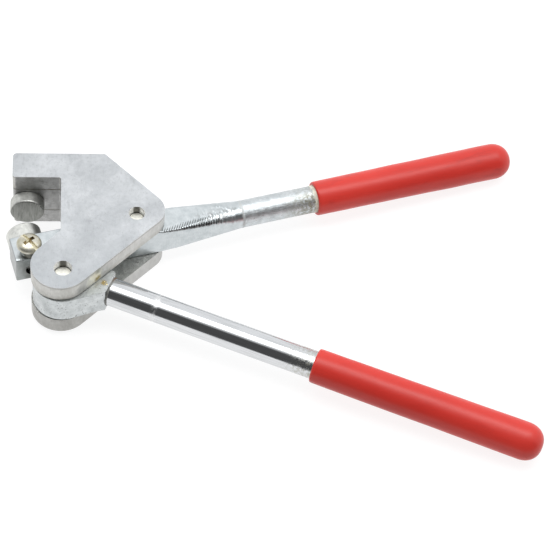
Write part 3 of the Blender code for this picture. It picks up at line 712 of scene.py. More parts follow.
def flat_piece(name, outlines, thickness, look=None):
    """A plate of this thickness about z 0. The first outline is its edge, the others are holes."""
    curve = bpy.data.curves.new(name + "_outline", "CURVE")
    curve.dimensions = "2D"
    curve.fill_mode = "BOTH"
    curve.extrude = thickness / 2 * MM
    for points in outlines:
        spline = curve.splines.new("POLY")
        spline.points.add(len(points) - 1)
        for target, (x, y) in zip(spline.points, points):
            target.co = (x * MM, y * MM, 0, 1)
        spline.use_cyclic_u = True
    drawn = bpy.data.objects.new(name + "_drawn", curve)
    bpy.context.scene.collection.objects.link(drawn)
    work = bmesh.new()
    work.from_mesh(evaluated_mesh(drawn))
    bpy.data.objects.remove(drawn, do_unlink=True)
    bmesh.ops.remove_doubles(work, verts=work.verts, dist=0.000002)
    bmesh.ops.dissolve_limit(work, angle_limit=0.0005, verts=work.verts, edges=work.edges)
    bmesh.ops.scale(work, vec=(1 / MM,) * 3, verts=work.verts)
    return new_object(name, work, look)


def ring_points(radius, height, steps=ROUND):
    turns = [math.tau * step / steps for step in range(steps)]
    return [(radius * math.cos(turn), radius * math.sin(turn), height) for turn in turns]


def lathe(name, profile, look, steps=ROUND, closed=False):
    """A shape turned about Z from (radius, height) points."""
    work = bmesh.new()
    rings = []
    for radius, height in profile:
        points = ring_points(radius, height, steps) if radius > 1e-6 else [(0, 0, height)]
        rings.append([work.verts.new(point) for point in points])
    skin(work, rings + rings[:1] if closed else rings)
    return new_object(name, work, look)


def skin(work, rings):
    """Faces between each ring and the next."""
    for ring, following in zip(rings, rings[1:]):
        for i in range(max(len(ring), len(following))):
            join_rings(work, ring, following, i)


def join_rings(work, ring, following, i):
    """One face between two rings, either of which may be a single point."""
    corners = [ring[i % len(ring)], ring[(i + 1) % len(ring)]]
    corners += [following[(i + 1) % len(following)], following[i % len(following)]]
    kept = list(dict.fromkeys(corners))
    if len(kept) > 2:
        work.faces.new(kept)


def loft(name, rings, look):
    """A closed skin over rings of equal length, with flat ends."""
    work = bmesh.new()
    made = [[work.verts.new(point) for point in ring] for ring in rings]
    skin(work, made)
    work.faces.new(made[0])
    work.faces.new(reversed(made[-1]))
    return new_object(name, work, look)


def rod_cutter(radius, length, at, sides=72):
    work = bmesh.new()
    bmesh.ops.create_cone(
        work, cap_ends=True, segments=sides, radius1=radius, radius2=radius, depth=length
    )
    return placed_cutter(work, at)


def box_cutter(x, y, z, at):
    work = bmesh.new()
    bmesh.ops.create_cube(work, size=1)
    bmesh.ops.scale(work, vec=(x, y, z), verts=work.verts)
    return placed_cutter(work, at)


def placed_cutter(work, at):
    cutter = new_object("cutter", work)
    cutter.data.transform(at)
    cutter.hide_render = True
    return cutter


def at_mm(x, y, z, turn=Matrix.Identity(4)):
    return Matrix.Translation(Vector((x, y, z)) * MM) @ turn


def cut(obj, cutter, look=None, operation="DIFFERENCE"):
    """Cuts or joins by a helper solid, which is then removed. Cut faces take the cutter's look."""
    if look is not None:
        cutter.data.materials.append(look)
    settings = {"operation": operation, "solver": "EXACT", "material_mode": "TRANSFER"}
    add_modifier(obj, "BOOLEAN", object=cutter, **settings)
    bpy.data.objects.remove(cutter, do_unlink=True)


def drill(obj, radius, length, at, look=None):
    cut(obj, rod_cutter(radius, length, at), look)


def ease_edges(obj, width, segments=3):
    settings = {"segments": segments, "limit_method": "ANGLE", "angle_limit": math.radians(32)}
    add_modifier(obj, "BEVEL", width=width * MM, use_clamp_overlap=True, **settings)


def roughen(obj, size, depth, seed=0):
    """Moves points along their normals by smooth noise, in millimetres."""
    offset = Vector((seed, seed, seed))
    vertices = obj.data.vertices
    waves = [noise.noise(vertex.co / (size * MM) + offset) for vertex in vertices]
    moves = [vertex.normal * wave * depth * MM for vertex, wave in zip(vertices, waves)]
    for vertex, move in zip(vertices, moves):
        vertex.co += move


def paint_where(obj, look, chosen):
    """Gives the faces that chosen(face) picks their own material."""
    obj.data.materials.append(look)
    slot = len(obj.data.materials) - 1
    for face in obj.data.polygons:
        if chosen(face):
            face.material_index = slot


def finish_piece(obj, at, body, sharp=38):
    """Places a piece and lets it ride its body. A piece NODE_finished stands for that CAD node."""
    obj.matrix_world = at
    obj.data.shade_smooth()
    obj.data.set_sharp_from_angle(angle=math.radians(sharp))
    even = obj.modifiers.new("Even", "WEIGHTED_NORMAL")
    even.keep_sharp = True
    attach(obj, body)
    node = obj.name.removesuffix("_finished")
    if node != obj.name:
        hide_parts(node)


# ---------------- frame


PLATE_CORNERS = (
    ("nose", "back", 3.0),
    ("back", "shoulder", 2.0),
    ("shoulder", "front", HEEL_RADIUS),
    ("front", "lobe_end", LOBE_RADIUS * 0.999),
    ("lobe_end", "neck", LOBE_RADIUS * 0.999),
    ("neck", "throat_side", 2.5),
    ("throat_side", "throat_top", 1.7),
    ("throat_top", "nose", 2.5),
)
BLOCK_CORNERS = (
    *PLATE_CORNERS[:2],
    ("shoulder", "block_rear", 0.5),
    ("block_rear", "throat_side", 0.5),
    *PLATE_CORNERS[-2:],
)


def frame_edges():
    """The straight edges of the plates and the head block, by name."""
    end_angle = (FRONT_ANGLE + NECK_ANGLE) / 2 - math.pi / 2
    return {
        "back": edge_line(NOSE_X, BACK_Y, 0),
        "shoulder": edge_line(SHOULDER_X, BACK_Y, SHOULDER_ANGLE),
        "block_rear": edge_line(0, BLOCK_REAR_Y, 0),
        "front": tangent_edge(LOBE_AT, LOBE_RADIUS, FRONT_ANGLE),
        "lobe_end": tangent_edge(LOBE_AT, LOBE_RADIUS, end_angle),
        "neck": tangent_edge(LOBE_AT, LOBE_RADIUS, NECK_ANGLE + math.pi),
        "throat_side": edge_line(THROAT_X, THROAT_Y, math.pi / 2),
        "throat_top": edge_line(NOSE_X, THROAT_Y, 0),
        "nose": edge_line(NOSE_X, THROAT_Y, math.pi / 2),
    }


def frame_outline(corners):
    """An outline from corners given as (edge, next edge, rounding)."""
    edges = frame_edges()
    return rounded([(crossing(edges[a], edges[b]), radius) for a, b, radius in corners])


def front_pin_in_plan():
    away = (FRONT_PIN - REAR_PIN) / MM
    return away.x, away.y


def in_throat(face):
    """True for a side face inside the throat, in front of the head block."""
    x, y, _ = face.center / MM
    if face.normal.x < -0.3:
        return THROAT_X - 0.5 < x < THROAT_X + 2.6 and y < THROAT_Y + 2
    return x < THROAT_X + 1 and abs(y - THROAT_Y) < 2 and face.normal.y < -0.3


def make_plate(name, middle, looks):
    face, side, throat, reamed, inner, edge = looks
    front_x, front_y = front_pin_in_plan()
    outlines = [
        frame_outline(PLATE_CORNERS),
        circle_points(0, 0, REAR_PIN_RADIUS + RUNNING),
        circle_points(front_x, front_y, FRONT_PIN_RADIUS + RUNNING),
    ]
    plate = flat_piece(name + "_finished", outlines, PLATE_THICK, face)
    for x, y in FRAME_SCREWS_AT:
        low = at_mm(x, y, -PLATE_THICK / 2)
        if middle > 0:
            drill(plate, CAP_SHANK_RADIUS + RUNNING, 2 * (FRAME_SCREW_REACH + 1), low)
        else:
            drill(plate, CAP_SHANK_RADIUS + FIT, PLATE_THICK + 4, at_mm(x, y, 0))
            drill(plate, CAP_HEAD_RADIUS + FIT, 2 * (CAP_HEAD_HEIGHT + 1 + FIT), low)
    ease_edges(plate, 0.95)
    inward = -1 if middle > 0 else 1
    axes = ((0.0, 0.0), (front_x, front_y))
    paint_where(plate, inner, lambda part: part.normal.z * inward > 0.9)
    # The rounded edges take the rubbed edge look, painted bright as a highlight.
    paint_where(plate, edge, lambda part: abs(part.normal.z) < 0.98)
    paint_where(plate, side, lambda part: abs(part.normal.z) < 0.35)
    paint_where(plate, throat, lambda part: abs(part.normal.z) < 0.75 and in_throat(part))
    # The bore walls take a painted highlight at their sides and painted shade at the back.
    paint_where(plate, reamed, lambda part: abs(part.normal.z) < 0.9 and near_axis(part, axes))
    finish_piece(plate, FRAME_AT @ at_mm(0, 0, middle), "frame")


def near_axis(face, axes):
    """True for a face of one of the pin bores."""
    x, y, _ = face.center / MM
    return any(math.hypot(x - ax, y - ay) < FRONT_PIN_RADIUS + 1 for ax, ay in axes)


def make_head_block(look):
    holes = [circle_points(x, y, CAP_SHANK_RADIUS + FIT) for x, y in FRAME_SCREWS_AT]
    outlines = [frame_outline(BLOCK_CORNERS)] + holes
    block = flat_piece("head_block_finished", outlines, 2 * (HALF_GAP - FIT), look)
    seat = at_mm(FIXED_DIE_X, THROAT_Y, FIXED_DIE_Z, TO_Y)
    back = at_mm(FIXED_DIE_X, BACK_Y, FIXED_DIE_Z, TO_Y)
    drill(block, DIE_SHANK_RADIUS + RUNNING, 2 * (FIXED_SHANK_LENGTH + 1), seat, look)
    drill(block, CAP_SHANK_RADIUS + FIT, 30, back, look)
    drill(block, CAP_HEAD_RADIUS + FIT, 2 * (DIE_SCREW_SUNK + FIT), back, look)
    ease_edges(block, 0.3, 2)
    finish_piece(block, FRAME_AT, "frame")


def make_cap_screw(name, shank_length, at, look):
    """A socket cap screw that hangs from its head's top at z 0, with a chamfer and a hex socket."""
    end = -CAP_HEAD_HEIGHT - shank_length
    corners = [
        (0, 0, 0),
        (CAP_HEAD_RADIUS, 0, 0.6),
        (CAP_HEAD_RADIUS, -CAP_HEAD_HEIGHT, 0.25),
        (CAP_SHANK_RADIUS, -CAP_HEAD_HEIGHT, 0.2),
        (CAP_SHANK_RADIUS, end, 0.6),
        (0, end, 0),
    ]
    screw = lathe(name + "_finished", turned_profile(corners, **OPEN_PROFILE), look, 72)
    socket = rod_cutter(CAP_SOCKET_RADIUS, 2 * CAP_SOCKET_DEPTH, Matrix.Identity(4), 6)
    cut(screw, socket, look)
    finish_piece(screw, at, "frame", 30)


def make_frame_screws(look):
    head_top = -PLATE_TOP + 1.0
    reach = HALF_GAP + FRAME_SCREW_REACH - (head_top + CAP_HEAD_HEIGHT)
    for i, (x, y) in enumerate(FRAME_SCREWS_AT):
        at = FRAME_AT @ at_mm(x, y, head_top, UPSIDE_DOWN)
        make_cap_screw(f"frame_screw_{i + 1}", reach, at, look)


def make_pivot_pin(name, radius, x, y, look):
    """A pin with domed ends, sunk below both plate faces."""
    edge = PLATE_TOP - PIN_RECESS - PIN_DOME
    crown = [(radius * across, edge + PIN_DOME * up) for across, up in quarter(8)]
    profile = crown + [(r, -z) for r, z in reversed(crown)]
    pin = lathe(name + "_finished", profile, look, 72)
    finish_piece(pin, FRAME_AT @ at_mm(x, y, 0), "frame")


def make_cam_washer(look):
    low = -HALF_GAP + FIT
    high = CAM_TOP - CAM_THICK - FIT
    inner = FRONT_PIN_RADIUS + RUNNING
    around = [(inner, high), (WASHER_RADIUS, high), (WASHER_RADIUS, low), (inner, low)]
    profile = turned_profile([(*point, 0.25) for point in around], step_angle=math.radians(30))
    washer = lathe("cam_washer_finished", profile, look, closed=True)
    finish_piece(washer, FRAME_AT @ at_mm(*front_pin_in_plan(), 0), "frame")


# ---------------- dies


def make_die(name, radius, face, seat, shank_end, looks):
    """A round die with a rolled face edge. Its face looks along +Z."""
    side, front = looks
    corners = [
        (0, face, 0),
        (radius, face, 1.1),
        (radius, seat, 0.4),
        (DIE_SHANK_RADIUS, seat, 0),
        (DIE_SHANK_RADIUS, shank_end, 0.6),
        (0, shank_end, 0),
    ]
    die = lathe(name + "_finished", turned_profile(corners, **OPEN_PROFILE), side)
    paint_where(die, front, lambda part: part.center.z > (face - 0.3) * MM)
    return die


def make_fixed_die(looks):
    height = THROAT_Y - FIXED_DIE_FACE_Y
    die = make_die("fixed_die", FIXED_DIE_RADIUS, height, FIT, -FIXED_SHANK_LENGTH, looks)
    thread = 2 * (DIE_SCREW_REACH + DIE_THREAD_SPARE)
    drill(die, CAP_SHANK_RADIUS + RUNNING, thread, at_mm(0, 0, -FIXED_SHANK_LENGTH))
    reach = FIXED_DIE_RADIUS - 0.7
    for turn, width in FACE_NICKS:
        angle = math.radians(turn)
        lean = Matrix.Rotation(0.5 - angle, 4, "Z")
        spot = at_mm(reach * math.cos(angle), -reach * math.sin(angle), height, lean)
        cut(die, box_cutter(3.2, width, 0.7, spot))
    at = FRAME_AT @ at_mm(FIXED_DIE_X, THROAT_Y, FIXED_DIE_Z, TO_MINUS_Y)
    finish_piece(die, at, "frame")


def make_moving_die(looks):
    size = (MOVING_DIE_RADIUS, MOVING_DIE_FACE, BAR_HALF_WIDTH + FIT, MOVING_SHANK_END)
    die = make_die("moving_die", *size, looks)
    at = JAW_AT @ at_mm(MOVING_DIE_ALONG, 0, MOVING_DIE_Z, TO_Y)
    finish_piece(die, at, "jaw")


def make_fixed_die_screw(look):
    seat = BACK_Y - DIE_SCREW_SUNK
    at = FRAME_AT @ at_mm(FIXED_DIE_X, seat + CAP_HEAD_HEIGHT, FIXED_DIE_Z, TO_Y)
    reach = seat - (THROAT_Y + FIXED_SHANK_LENGTH) + DIE_SCREW_REACH
    make_cap_screw("fixed_die_screw", reach, at, look)


# ---------------- jaw lever


def smooth_share(value, low, high):
    """0 below low, 1 above high, and an easy curve between them."""
    share = min(1, max(0, (value - low) / (high - low)))
    return share * share * (3 - 2 * share)


def tick_depth(along, inward):
    """How deep the forging marks are at a place along the bar and in from its front corner."""
    start, end = TICKS
    growth = min(1, max(0, (along - start) / 24))
    reach = 2.2 + 4.8 * growth
    fade = smooth_share(along, start, start + 3) * (1 - smooth_share(along, end - 16, end))
    fade *= 1 - smooth_share(inward, 0.5 * reach, reach)
    wave = math.cos(math.tau * ((along - TICK_LEAN * inward) / TICK_PITCH - 0.5))
    return TICK_DEPTH * (0.7 + 0.3 * growth) * fade * max(0, wave) ** 1.5


def bar_ring(along, half_width, half_height, radius, shift=0.0, steps=9):
    """A rounded rectangle across the bar, with the forging marks by its upper front corner."""
    points = []
    for corner in range(4):
        side = 1 if corner in (0, 3) else -1
        top = 1 if corner in (0, 1) else -1
        if corner == 1:
            flat = min(7.0, 2 * (half_width - radius))
            for step in range(10):
                inward = flat * (1 - step / 10) ** 1.6
                dent = tick_depth(along, inward + 0.5 * radius)
                if along < JAW_EDGE_ROLL[0]:
                    dent += JAW_EDGE_ROLL[2] * max(0, 1 - inward / JAW_EDGE_ROLL[1]) ** 2
                points.append((along, inward - half_width + radius + shift, half_height - dent))
        for step in range(steps + 1):
            share = step / steps
            turn = math.pi / 2 * (corner + share)
            reach = radius
            if corner == 1:
                reach -= tick_depth(along, 0.5 * radius * (1 - share))
                if along < JAW_EDGE_ROLL[0]:
                    reach -= JAW_EDGE_ROLL[2] * (1 - share)
            y = side * (half_width - radius) + reach * math.cos(turn)
            z = top * (half_height - radius) + reach * math.sin(turn)
            points.append((along, y + shift, z))
    return points


def bar_size(along):
    """Half width, half height and corner radius of the bar: square, narrowing, then turning round."""
    if along < BAR_SQUARE_END:
        share = max(0, (along - BAR_TAPER_START) / (BAR_SQUARE_END - BAR_TAPER_START))
        height = BAR_HALF_HEIGHT + share * (BAR_SQUARE_END_HALF_HEIGHT - BAR_HALF_HEIGHT)
        return BAR_HALF_WIDTH, height, BAR_EDGE
    share = (along - BAR_SQUARE_END) / (BAR_ROUND_START - BAR_SQUARE_END)
    square = (BAR_HALF_WIDTH, BAR_SQUARE_END_HALF_HEIGHT, BAR_EDGE)
    full_round = (TUBE_RADIUS, TUBE_RADIUS, TUBE_RADIUS - ROUND_SHORT)
    return tuple(a + share * (b - a) for a, b in zip(square, full_round))


def bar_rings():
    """Rings from the jaw end to the spigot."""
    rings = []
    for across, back in quarter(3):
        inset = BAR_EDGE * (1 - across)
        along = BAR_START + BAR_EDGE * (1 - back)
        size = (BAR_HALF_WIDTH - inset, BAR_HALF_HEIGHT - inset)
        rings.append(bar_ring(along, *size, BAR_EDGE - inset + 0.05))
    coarse = [-70 + 10 * step for step in range(9)]
    count = round((BAR_ROUND_START - 13) / (TICK_PITCH / 8))
    fine = [13 + (BAR_ROUND_START - 13) * step / count for step in range(count + 1)]
    rings += [bar_ring(along, *bar_size(along)) for along in coarse + fine]
    spigot = (SPIGOT_RADIUS, SPIGOT_RADIUS, SPIGOT_RADIUS - ROUND_SHORT)
    rings.append(bar_ring(BAR_ROUND_START, *spigot))
    drift = SPIGOT_LENGTH * math.tan(HANDLE_TILT)
    rings.append(bar_ring(BAR_ROUND_START + SPIGOT_LENGTH, *spigot, drift))
    return rings


def hammer_neck(obj):
    """Dents over the upper front side of the neck, where the bar was worked round."""
    for vertex in obj.data.vertices:
        x, y, z = vertex.co / MM
        share = smooth_share(x, 36, 54) * (1 - smooth_share(x, 68, 73.5))
        share *= smooth_share(z - 0.8 * y, 2.0, 9.0)
        if share > 0:
            dent = noise.noise(Vector((x / 1.6, y / 2.4, z / 2.4)))
            vertex.co += vertex.normal * (0.34 * share * (dent - 0.3) * MM)


def make_jaw_lever(look, dark):
    lever = loft("jaw_lever_finished", bar_rings(), look)
    hammer_neck(lever)
    through = 2 * BAR_HALF_HEIGHT + 4
    # The bores take the black screw look: painted shade inside them.
    drill(lever, REAR_PIN_RADIUS + RUNNING, through, Matrix.Identity(4), dark)
    across = at_mm(MOVING_DIE_ALONG, 0, MOVING_DIE_Z, TO_Y)
    drill(lever, DIE_SHANK_RADIUS + RUNNING, 2 * BAR_HALF_WIDTH + 4, across, dark)
    mouth = at_mm(CLAMP_ALONG, CLAMP_ACROSS, BAR_HALF_HEIGHT)
    depth = 2 * (BAR_HALF_HEIGHT - MOVING_DIE_Z)
    drill(lever, CLAMP_SHANK_RADIUS + RUNNING, depth, mouth, dark)
    finish_piece(lever, JAW_AT, "jaw", 42)


def thread_rings(low, high):
    """Rings of a helical thread between two heights, top first."""
    rows = math.ceil((high - low) / (THREAD_PITCH / 8))
    rings = []
    for row in range(rows + 1):
        z = high + (low - high) * row / rows
        ends = max(0, min(1, (high - z) / 0.8, (z - low) / 0.8))
        ring = []
        for step, (x, y, _) in enumerate(ring_points(1, z, SCREW_STEPS)):
            phase = (z / THREAD_PITCH - step / SCREW_STEPS) % 1
            radius = CLAMP_SHANK_RADIUS - THREAD_DEPTH * (1 - abs(2 * phase - 1)) * ends
            ring.append((radius * x, radius * y, z))
        rings.append(ring)
    return rings


def make_clamp_screw(look, slot, cross):
    """A pan head screw with a slot, a cross recess and a collar, threaded up to the collar."""
    crown = CLAMP_HEAD_HEIGHT - CLAMP_HEAD_RIM
    base = CLAMP_HEAD_UNDER + CLAMP_HEAD_RIM
    heights = [(CLAMP_HEAD_RADIUS * across, base + crown * up) for across, up in quarter(12)]
    heights[0] = (0.02, base + crown)
    heights += [
        (CLAMP_HEAD_RADIUS, base - 0.6),
        (CLAMP_HEAD_RADIUS - 0.15, base - 0.95),
        (CLAMP_HEAD_RADIUS - 0.5, CLAMP_HEAD_UNDER + 0.05),
        (CLAMP_HEAD_RADIUS - 0.9, CLAMP_HEAD_UNDER),
        (CLAMP_COLLAR_TOP_RADIUS, CLAMP_HEAD_UNDER - 0.2),
        (CLAMP_COLLAR_FOOT_RADIUS + 0.1, CLAMP_COLLAR_LOW + 0.3),
        (CLAMP_COLLAR_FOOT_RADIUS - 0.2, CLAMP_COLLAR_LOW),
        (CLAMP_SHANK_RADIUS, CLAMP_COLLAR_LOW),
    ]
    rings = [ring_points(radius, z, SCREW_STEPS) for radius, z in heights]
    rings += thread_rings(CLAMP_TIP_Z + 0.5, CLAMP_COLLAR_LOW - 0.1)
    rings.append(ring_points(CLAMP_SHANK_RADIUS - 0.8, CLAMP_TIP_Z, SCREW_STEPS))
    screw = loft("die_clamp_screw_finished", rings, look)
    turned = Matrix.Rotation(CLAMP_SLOT_TURN, 4, "Z")
    top = at_mm(0, 0, CLAMP_HEAD_UNDER + CLAMP_HEAD_HEIGHT, turned)
    cut(screw, box_cutter(*CLAMP_SLOT, top), slot)
    cut(screw, box_cutter(*CLAMP_CROSS, top), cross)
    finish_piece(screw, CLAMP_AT, "clamp")


# ---------------- cam lever


def cam_nose():
    """The curve that stays just clear of the jaw bar's front face through the whole stroke."""
    away = (REAR_PIN - FRONT_PIN) / MM
    pin_x, pin_y = -away.x, -away.y
    steps = 24
    points = []
    for step in range(steps + 1):
        tilt = JAW_OPEN * (1 - step / steps)
        reach = -pin_y * math.cos(tilt) + pin_x * math.sin(tilt) - BAR_HALF_WIDTH - FIT
        slope = (pin_y * math.sin(tilt) + pin_x * math.cos(tilt)) / (1 + CAM_RATIO)
        facing = math.pi / 2 + tilt - CAM_RATIO * (JAW_OPEN - tilt) - CAM_OPEN
        normal = Vector((math.cos(facing), math.sin(facing)))
        points.append(normal * reach + Vector((-normal.y, normal.x)) * slope)
    return points


def tangent_angle(outside, side):
    """How far round the hub the line from a point outside touches it."""
    away = outside - Vector(HUB_AT)
    return math.atan2(away.y, away.x) + side * math.acos(HUB_RADIUS / away.length)


def hub_arc(start, end):
    """Points round the hub from one angle down to another."""
    count = math.ceil((start - end) / FINE_ARC)
    points = []
    for step in range(count + 1):
        turn = start + (end - start) * step / count
        points.append(Vector(HUB_AT) + HUB_RADIUS * Vector((math.cos(turn), math.sin(turn))))
    return points


def cam_outline():
    nose = cam_nose()
    corners = [
        (nose[-1] + Vector(NOSE_BACK), 2.0),
        (Vector(BLOCK_SHOULDER), 5.0),
        (Vector((BLOCK_END, BLOCK_HIGH)), 2.4),
        (Vector((BLOCK_END, BLOCK_LOW)), 0.6),
        (Vector(BLOCK_HEEL), 2.0),
    ]
    start = tangent_angle(corners[-1][0], -1)
    end = tangent_angle(nose[0], 1) - math.tau
    return rounded([(point, 0) for point in hub_arc(start, end) + nose] + corners)


def make_cam_lever(look, dark, edge):
    hole = circle_points(0, 0, FRONT_PIN_RADIUS + RUNNING)
    lever = flat_piece("cam_lever_finished", [cam_outline(), hole], CAM_THICK, look)
    ease_edges(lever, 0.9)
    rim = (BLOCK_END - 1.2) * MM
    # The rounded edge of the block end takes the same painted highlight.
    paint_where(lever, edge, lambda part: part.center.x > rim and 0.2 < part.normal.z < 0.99)
    middle = at_mm(BLOCK_END + SPIGOT_LENGTH / 2 - 3, TUBE_ACROSS, 0, TO_X)
    cut(lever, rod_cutter(SPIGOT_RADIUS, SPIGOT_LENGTH + 6, middle), dark, "UNION")
    finish_piece(lever, CAM_AT @ at_mm(0, 0, CAM_MID), "cam")


def make_spatter(look):
    """Two beads that the weld spat onto the cam lever's top."""
    for name, dx, dy, radius in (("large", 0, 0, 0.8), ("small", -2.1, 1.5, 0.5)):
        dome = [(radius * across, 0.42 * radius * up) for across, up in quarter(6)]
        dome += [(radius * 0.7, -0.15), (0, -0.15)]
        bead = lathe(f"weld_spatter_{name}", dome, look, 32)
        roughen(bead, 0.8, 0.06 * radius, seed=radius)
        at = CAM_AT @ at_mm(SPATTER_AT[0] + dx, SPATTER_AT[1] + dy, CAM_TOP)
        finish_piece(bead, at, "cam")


# ---------------- handles


def make_tube(name, span, at, body, look, marks=()):
    """A handle tube. Each mark is a (place, half width, depth) groove round it."""
    start, end = span
    corners = [(TUBE_BORE, end, 0.2), (TUBE_RADIUS, end, 0.3)]
    for place, half, depth in marks:
        steps = ((half, 0), (half * 0.4, depth), (half * -0.4, depth), (-half, 0))
        corners += [(TUBE_RADIUS - deep, place + away, 0) for away, deep in steps]
    corners += [(TUBE_RADIUS, start, 0.3), (TUBE_BORE, start, 0.2)]
    profile = turned_profile(corners, step_angle=math.radians(30))
    tube = lathe(name + "_finished", profile, look, closed=True)
    tube.data.transform(TO_X)
    finish_piece(tube, at, body)


def make_weld(name, place, size, at, body, look, uneven):
    """The weld round the joint between a lever and its tube, ground nearly flush."""
    half_length, proud = size
    depth = 0.4
    steps = 10
    profile = []
    for step in range(steps):
        turn = -math.tau * step / steps
        radius = TUBE_RADIUS - depth + (depth + proud) * (0.5 + 0.5 * math.cos(turn))
        profile.append((radius, place + half_length * math.sin(turn)))
    bead = lathe(name + "_finished", profile, look, closed=True)
    roughen(bead, 1.7, uneven)
    bead.data.transform(TO_X)
    finish_piece(bead, at, body)


def make_grip(name, span, radii, at, body, look, blunt):
    """A dipped grip: rolled mouth, slow swelling, domed end."""
    start, end = span
    mouth, thick = radii
    dome = end - thick
    lip = start + 2.2
    profile = [(thick * across ** blunt, dome + thick * up) for across, up in quarter(24)]
    sleeve = 26
    for step in range(1, sleeve + 1):
        share = step / sleeve
        profile.append((thick + (mouth - thick) * share, dome + (lip - dome) * share))
    bore = TUBE_RADIUS + FIT
    inside = end - GRIP_WALL_END
    inner = [(mouth, lip, 0), (mouth - 0.12, start, 1.3), (bore, start, 0.3)]
    inner += [(bore, inside, 0), (0, inside, 0)]
    profile += turned_profile(inner, **OPEN_PROFILE)[1:]
    grip = lathe(name + "_finished", profile, look)
    roughen(grip, 21, 0.22, seed=end)
    grip.data.transform(TO_X)
    finish_piece(grip, at, body, 60)


def make_dip_film(name, start, at, body, look):
    """The thin uneven ring of dip that shows on the tube just before a grip."""
    low = TUBE_RADIUS + 0.02
    corners = [(low, start + 0.4, 0), (low + 0.22, start + 0.2, 0), (low + 0.2, start - 1.9, 0.1)]
    corners += [(low, start - 2.4, 0)]
    film = lathe(name, turned_profile(corners), look, closed=True)
    for vertex in film.data.vertices:
        if vertex.co.z < (start - 0.4) * MM:
            spot = Vector((vertex.co.x, vertex.co.y, 0)) / (3.0 * MM)
            vertex.co.z += 0.9 * MM * noise.noise(spot)
    film.data.transform(TO_X)
    finish_piece(film, at, body)


def leaning():
    """The upper handle's lean, turned about the place where its tube meets the bar."""
    joint = at_mm(BAR_ROUND_START, 0, 0)
    return joint @ Matrix.Rotation(HANDLE_TILT, 4, "Z") @ joint.inverted()


def make_upper_handle():
    at = JAW_AT @ leaning()
    span = (BAR_ROUND_START + FIT, UPPER_GRIP[1] - GRIP_WALL_END - FIT)
    make_tube("upper_handle_tube", span, at, "jaw", zinc_tube())
    place = BAR_ROUND_START + FIT / 2
    bright = weld("weld_bright", False)
    make_weld("upper_handle_weld", place, (1.5, 0.06), at, "jaw", bright, 0.08)
    red = red_vinyl("vinyl_upper", 0.55)
    make_grip("upper_grip", UPPER_GRIP, UPPER_GRIP_RADII, at, "jaw", red, 0.86)
    make_dip_film("upper_dip_film", UPPER_GRIP[0], at, "jaw", dip_edge())


def make_lower_handle():
    at = CAM_AT @ at_mm(0, TUBE_ACROSS, CAM_MID)
    span = (BLOCK_END + FIT, LOWER_GRIP[1] - GRIP_WALL_END - FIT)
    ring = [(RING_MARK_AT, 0.9, 0.1)]
    make_tube("lower_handle_tube", span, at, "cam", chrome(), ring)
    rusty = weld("weld_rusty", True)
    make_weld("lower_handle_weld", BLOCK_END + 0.6, (0.8, 0.28), at, "cam", rusty, 0.3)
    red = red_vinyl("vinyl_lower", 0.25)
    make_grip("lower_grip", LOWER_GRIP, LOWER_GRIP_RADII, at, "cam", red, 0.82)


# ---------------- stage, light and camera

VIEW_TURN = 0.18660  # the camera looks this far to the right of +Y, in radians
VIEW_DOWN = 0.92103
VIEW_ROLL = 0.15163
VIEW_AT = (93.289, -33.657, 0.0)
VIEW_DISTANCE = 1177.82
LENS = 113.85
REST_SLOPE = math.radians(2.75)  # the tool lies on its plates' heel and on the two grips


def make_camera():
    """The camera. Returns the level direction from the tool towards it."""
    camera = bpy.data.cameras.new("camera")
    camera.lens = LENS
    camera.clip_start = 0.05
    obj = bpy.data.objects.new("camera", camera)
    heading = Matrix.Rotation(-VIEW_TURN, 4, "Z")
    tilt = Matrix.Rotation(math.pi / 2 - VIEW_DOWN, 4, "X") @ Matrix.Rotation(VIEW_ROLL, 4, "Z")
    obj.matrix_world = FRAME_AT @ at_mm(*VIEW_AT, heading @ tilt) @ at_mm(0, 0, VIEW_DISTANCE)
    bpy.context.scene.collection.objects.link(obj)
    bpy.context.scene.camera = obj
    return heading @ Vector((0, -1, 0))


def make_floor():
    """A pale floor, sloped a little so that the plates' heel and both grips rest on it.

    It ends a short way in front of the tool, where the room is dark.
    """
    work = bmesh.new()
    far, near = 6000, -320
    corners = ((-far, near, 0), (far, near, 0), (far, far, 0), (-far, far, 0))
    work.faces.new([work.verts.new(corner) for corner in corners])
    floor = new_object("floor", work, pale_floor())
    heel = at_mm(12.0, 0, -PLATE_TOP - FIT, Matrix.Rotation(-REST_SLOPE, 4, "Y"))
    floor.matrix_world = FRAME_AT @ heel


def make_softbox(name, centre, size, radiance):
    """A soft area light that faces the tool."""
    data = bpy.data.lights.new(name, "AREA")
    data.shape = "RECTANGLE"
    data.size, data.size_y = size
    data.energy = radiance * math.pi * size[0] * size[1]
    light = bpy.data.objects.new(name, data)
    light.location = centre
    light.rotation_euler = (-Vector(centre)).to_track_quat("-Z", "Y").to_euler()
    light.visible_camera = False
    bpy.context.scene.collection.objects.link(light)


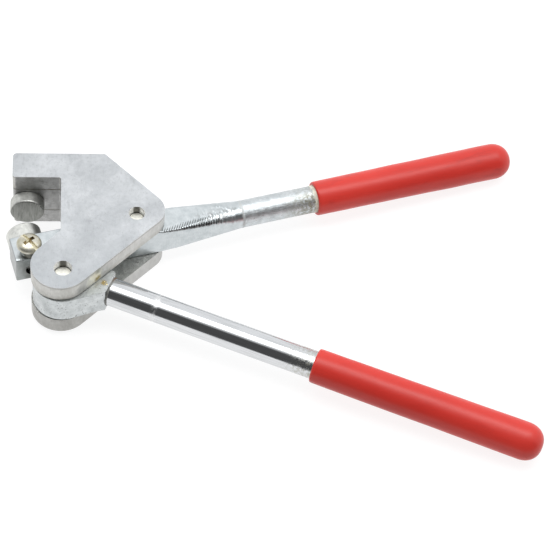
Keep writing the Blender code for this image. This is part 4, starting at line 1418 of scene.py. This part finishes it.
def make_surroundings(front):
    """A white room that is dark only behind the camera, up to well above eye level."""
    world = bpy.data.worlds.new("room")
    world.use_nodes = True
    bpy.context.scene.world = world
    tree = world.node_tree
    node = functools.partial(add_node, tree)
    way = node("TexCoord", output="Generated")
    ahead = node("VectorMath", {0: way, 1: front}, "Value", operation="DOT_PRODUCT")
    height = node("SeparateXYZ", {"Vector": way}, "Z")
    lift = node("Math", {0: height, 1: ahead}, operation="ARCTAN2")
    straight = node("LightPath", output="Is Camera Ray")
    dark = node("Math", {0: 1.0, 1: straight}, operation="SUBTRACT")
    for value, outside, inside in ((lift, -0.16, -0.02), (lift, 1.36, 1.06), (ahead, 0.05, 0.35)):
        share = node("MapRange", {"Value": value, "From Min": outside, "From Max": inside})
        dark = node("Math", {0: dark, 1: share}, operation="MULTIPLY")
    background = tree.nodes["Background"].inputs
    feed(tree, background["Color"], (0.99, 1.0, 1.01))
    strength = node("MapRange", {"Value": dark, "To Min": 1.05, "To Max": 0.085})
    feed(tree, background["Strength"], strength)


def make_plates(edge):
    throat = block_side()
    inside = (throat, bore_wall(), inner_face(), edge)
    face = cast_face()
    pale = sawn_side("sawn_side_stained", ((0.58, 0.575, 0.545), (0.76, 0.755, 0.73)), True)
    dull = sawn_side("sawn_side", ((0.40, 0.395, 0.375), (0.56, 0.555, 0.535)))
    make_plate("top_plate", PLATE_MIDDLE, (face, pale, *inside))
    make_plate("bottom_plate", -PLATE_MIDDLE, (face, dull, *inside))
    make_head_block(throat)


def make_pins_and_dies(screws):
    # The pins are painted near-black as shade below this height, round the rim of their domed ends.
    rim = PLATE_TOP - PIN_RECESS - 0.35
    pins = turned_steel("pin_steel", (0.90, 0.89, 0.82), 0.50, 0.02, rim)
    make_pivot_pin("rear_pivot_pin", REAR_PIN_RADIUS, 0, 0, pins)
    make_pivot_pin("front_pivot_pin", FRONT_PIN_RADIUS, *front_pin_in_plan(), pins)
    make_cam_washer(pins)
    make_fixed_die((turned_steel("fixed_die_side", (0.60, 0.605, 0.575), 0.44), die_face()))
    make_fixed_die_screw(screws)
    make_moving_die((turned_steel("moving_die_side", (0.72, 0.725, 0.69), 0.34), die_face()))


def make_levers(screws, edge):
    make_jaw_lever(zinc_bar(), screws)
    slot = recess("slot_floor", (0.55, 0.51, 0.38), (0.72, 0.68, 0.54))
    # The cross recess has darker brown tones than the slot floor: painted shade in its depth.
    cross = recess("cross_recess", (0.34, 0.28, 0.17), (0.50, 0.43, 0.28))
    make_clamp_screw(yellow_zinc(), slot, cross)
    make_cam_lever(cast_zinc(), screws, edge)
    make_spatter(spatter_brass())


def make_studio():
    front = make_camera()
    make_floor()
    make_softbox("softbox_skirt", (0.0, 0.10, 1.3), (1.8, 0.70), 1.3)
    make_softbox("softbox_heart", (0.0, 0.12, 1.3), (1.6, 0.46), 3.0)
    make_surroundings(front)
    bpy.context.scene.view_settings.view_transform = "Standard"


def main():
    screws = black_oxide()
    edge = rubbed_edge_highlight()
    make_plates(edge)
    make_frame_screws(screws)
    make_pins_and_dies(screws)
    make_levers(screws, edge)
    make_upper_handle()
    make_lower_handle()
    make_studio()


main()
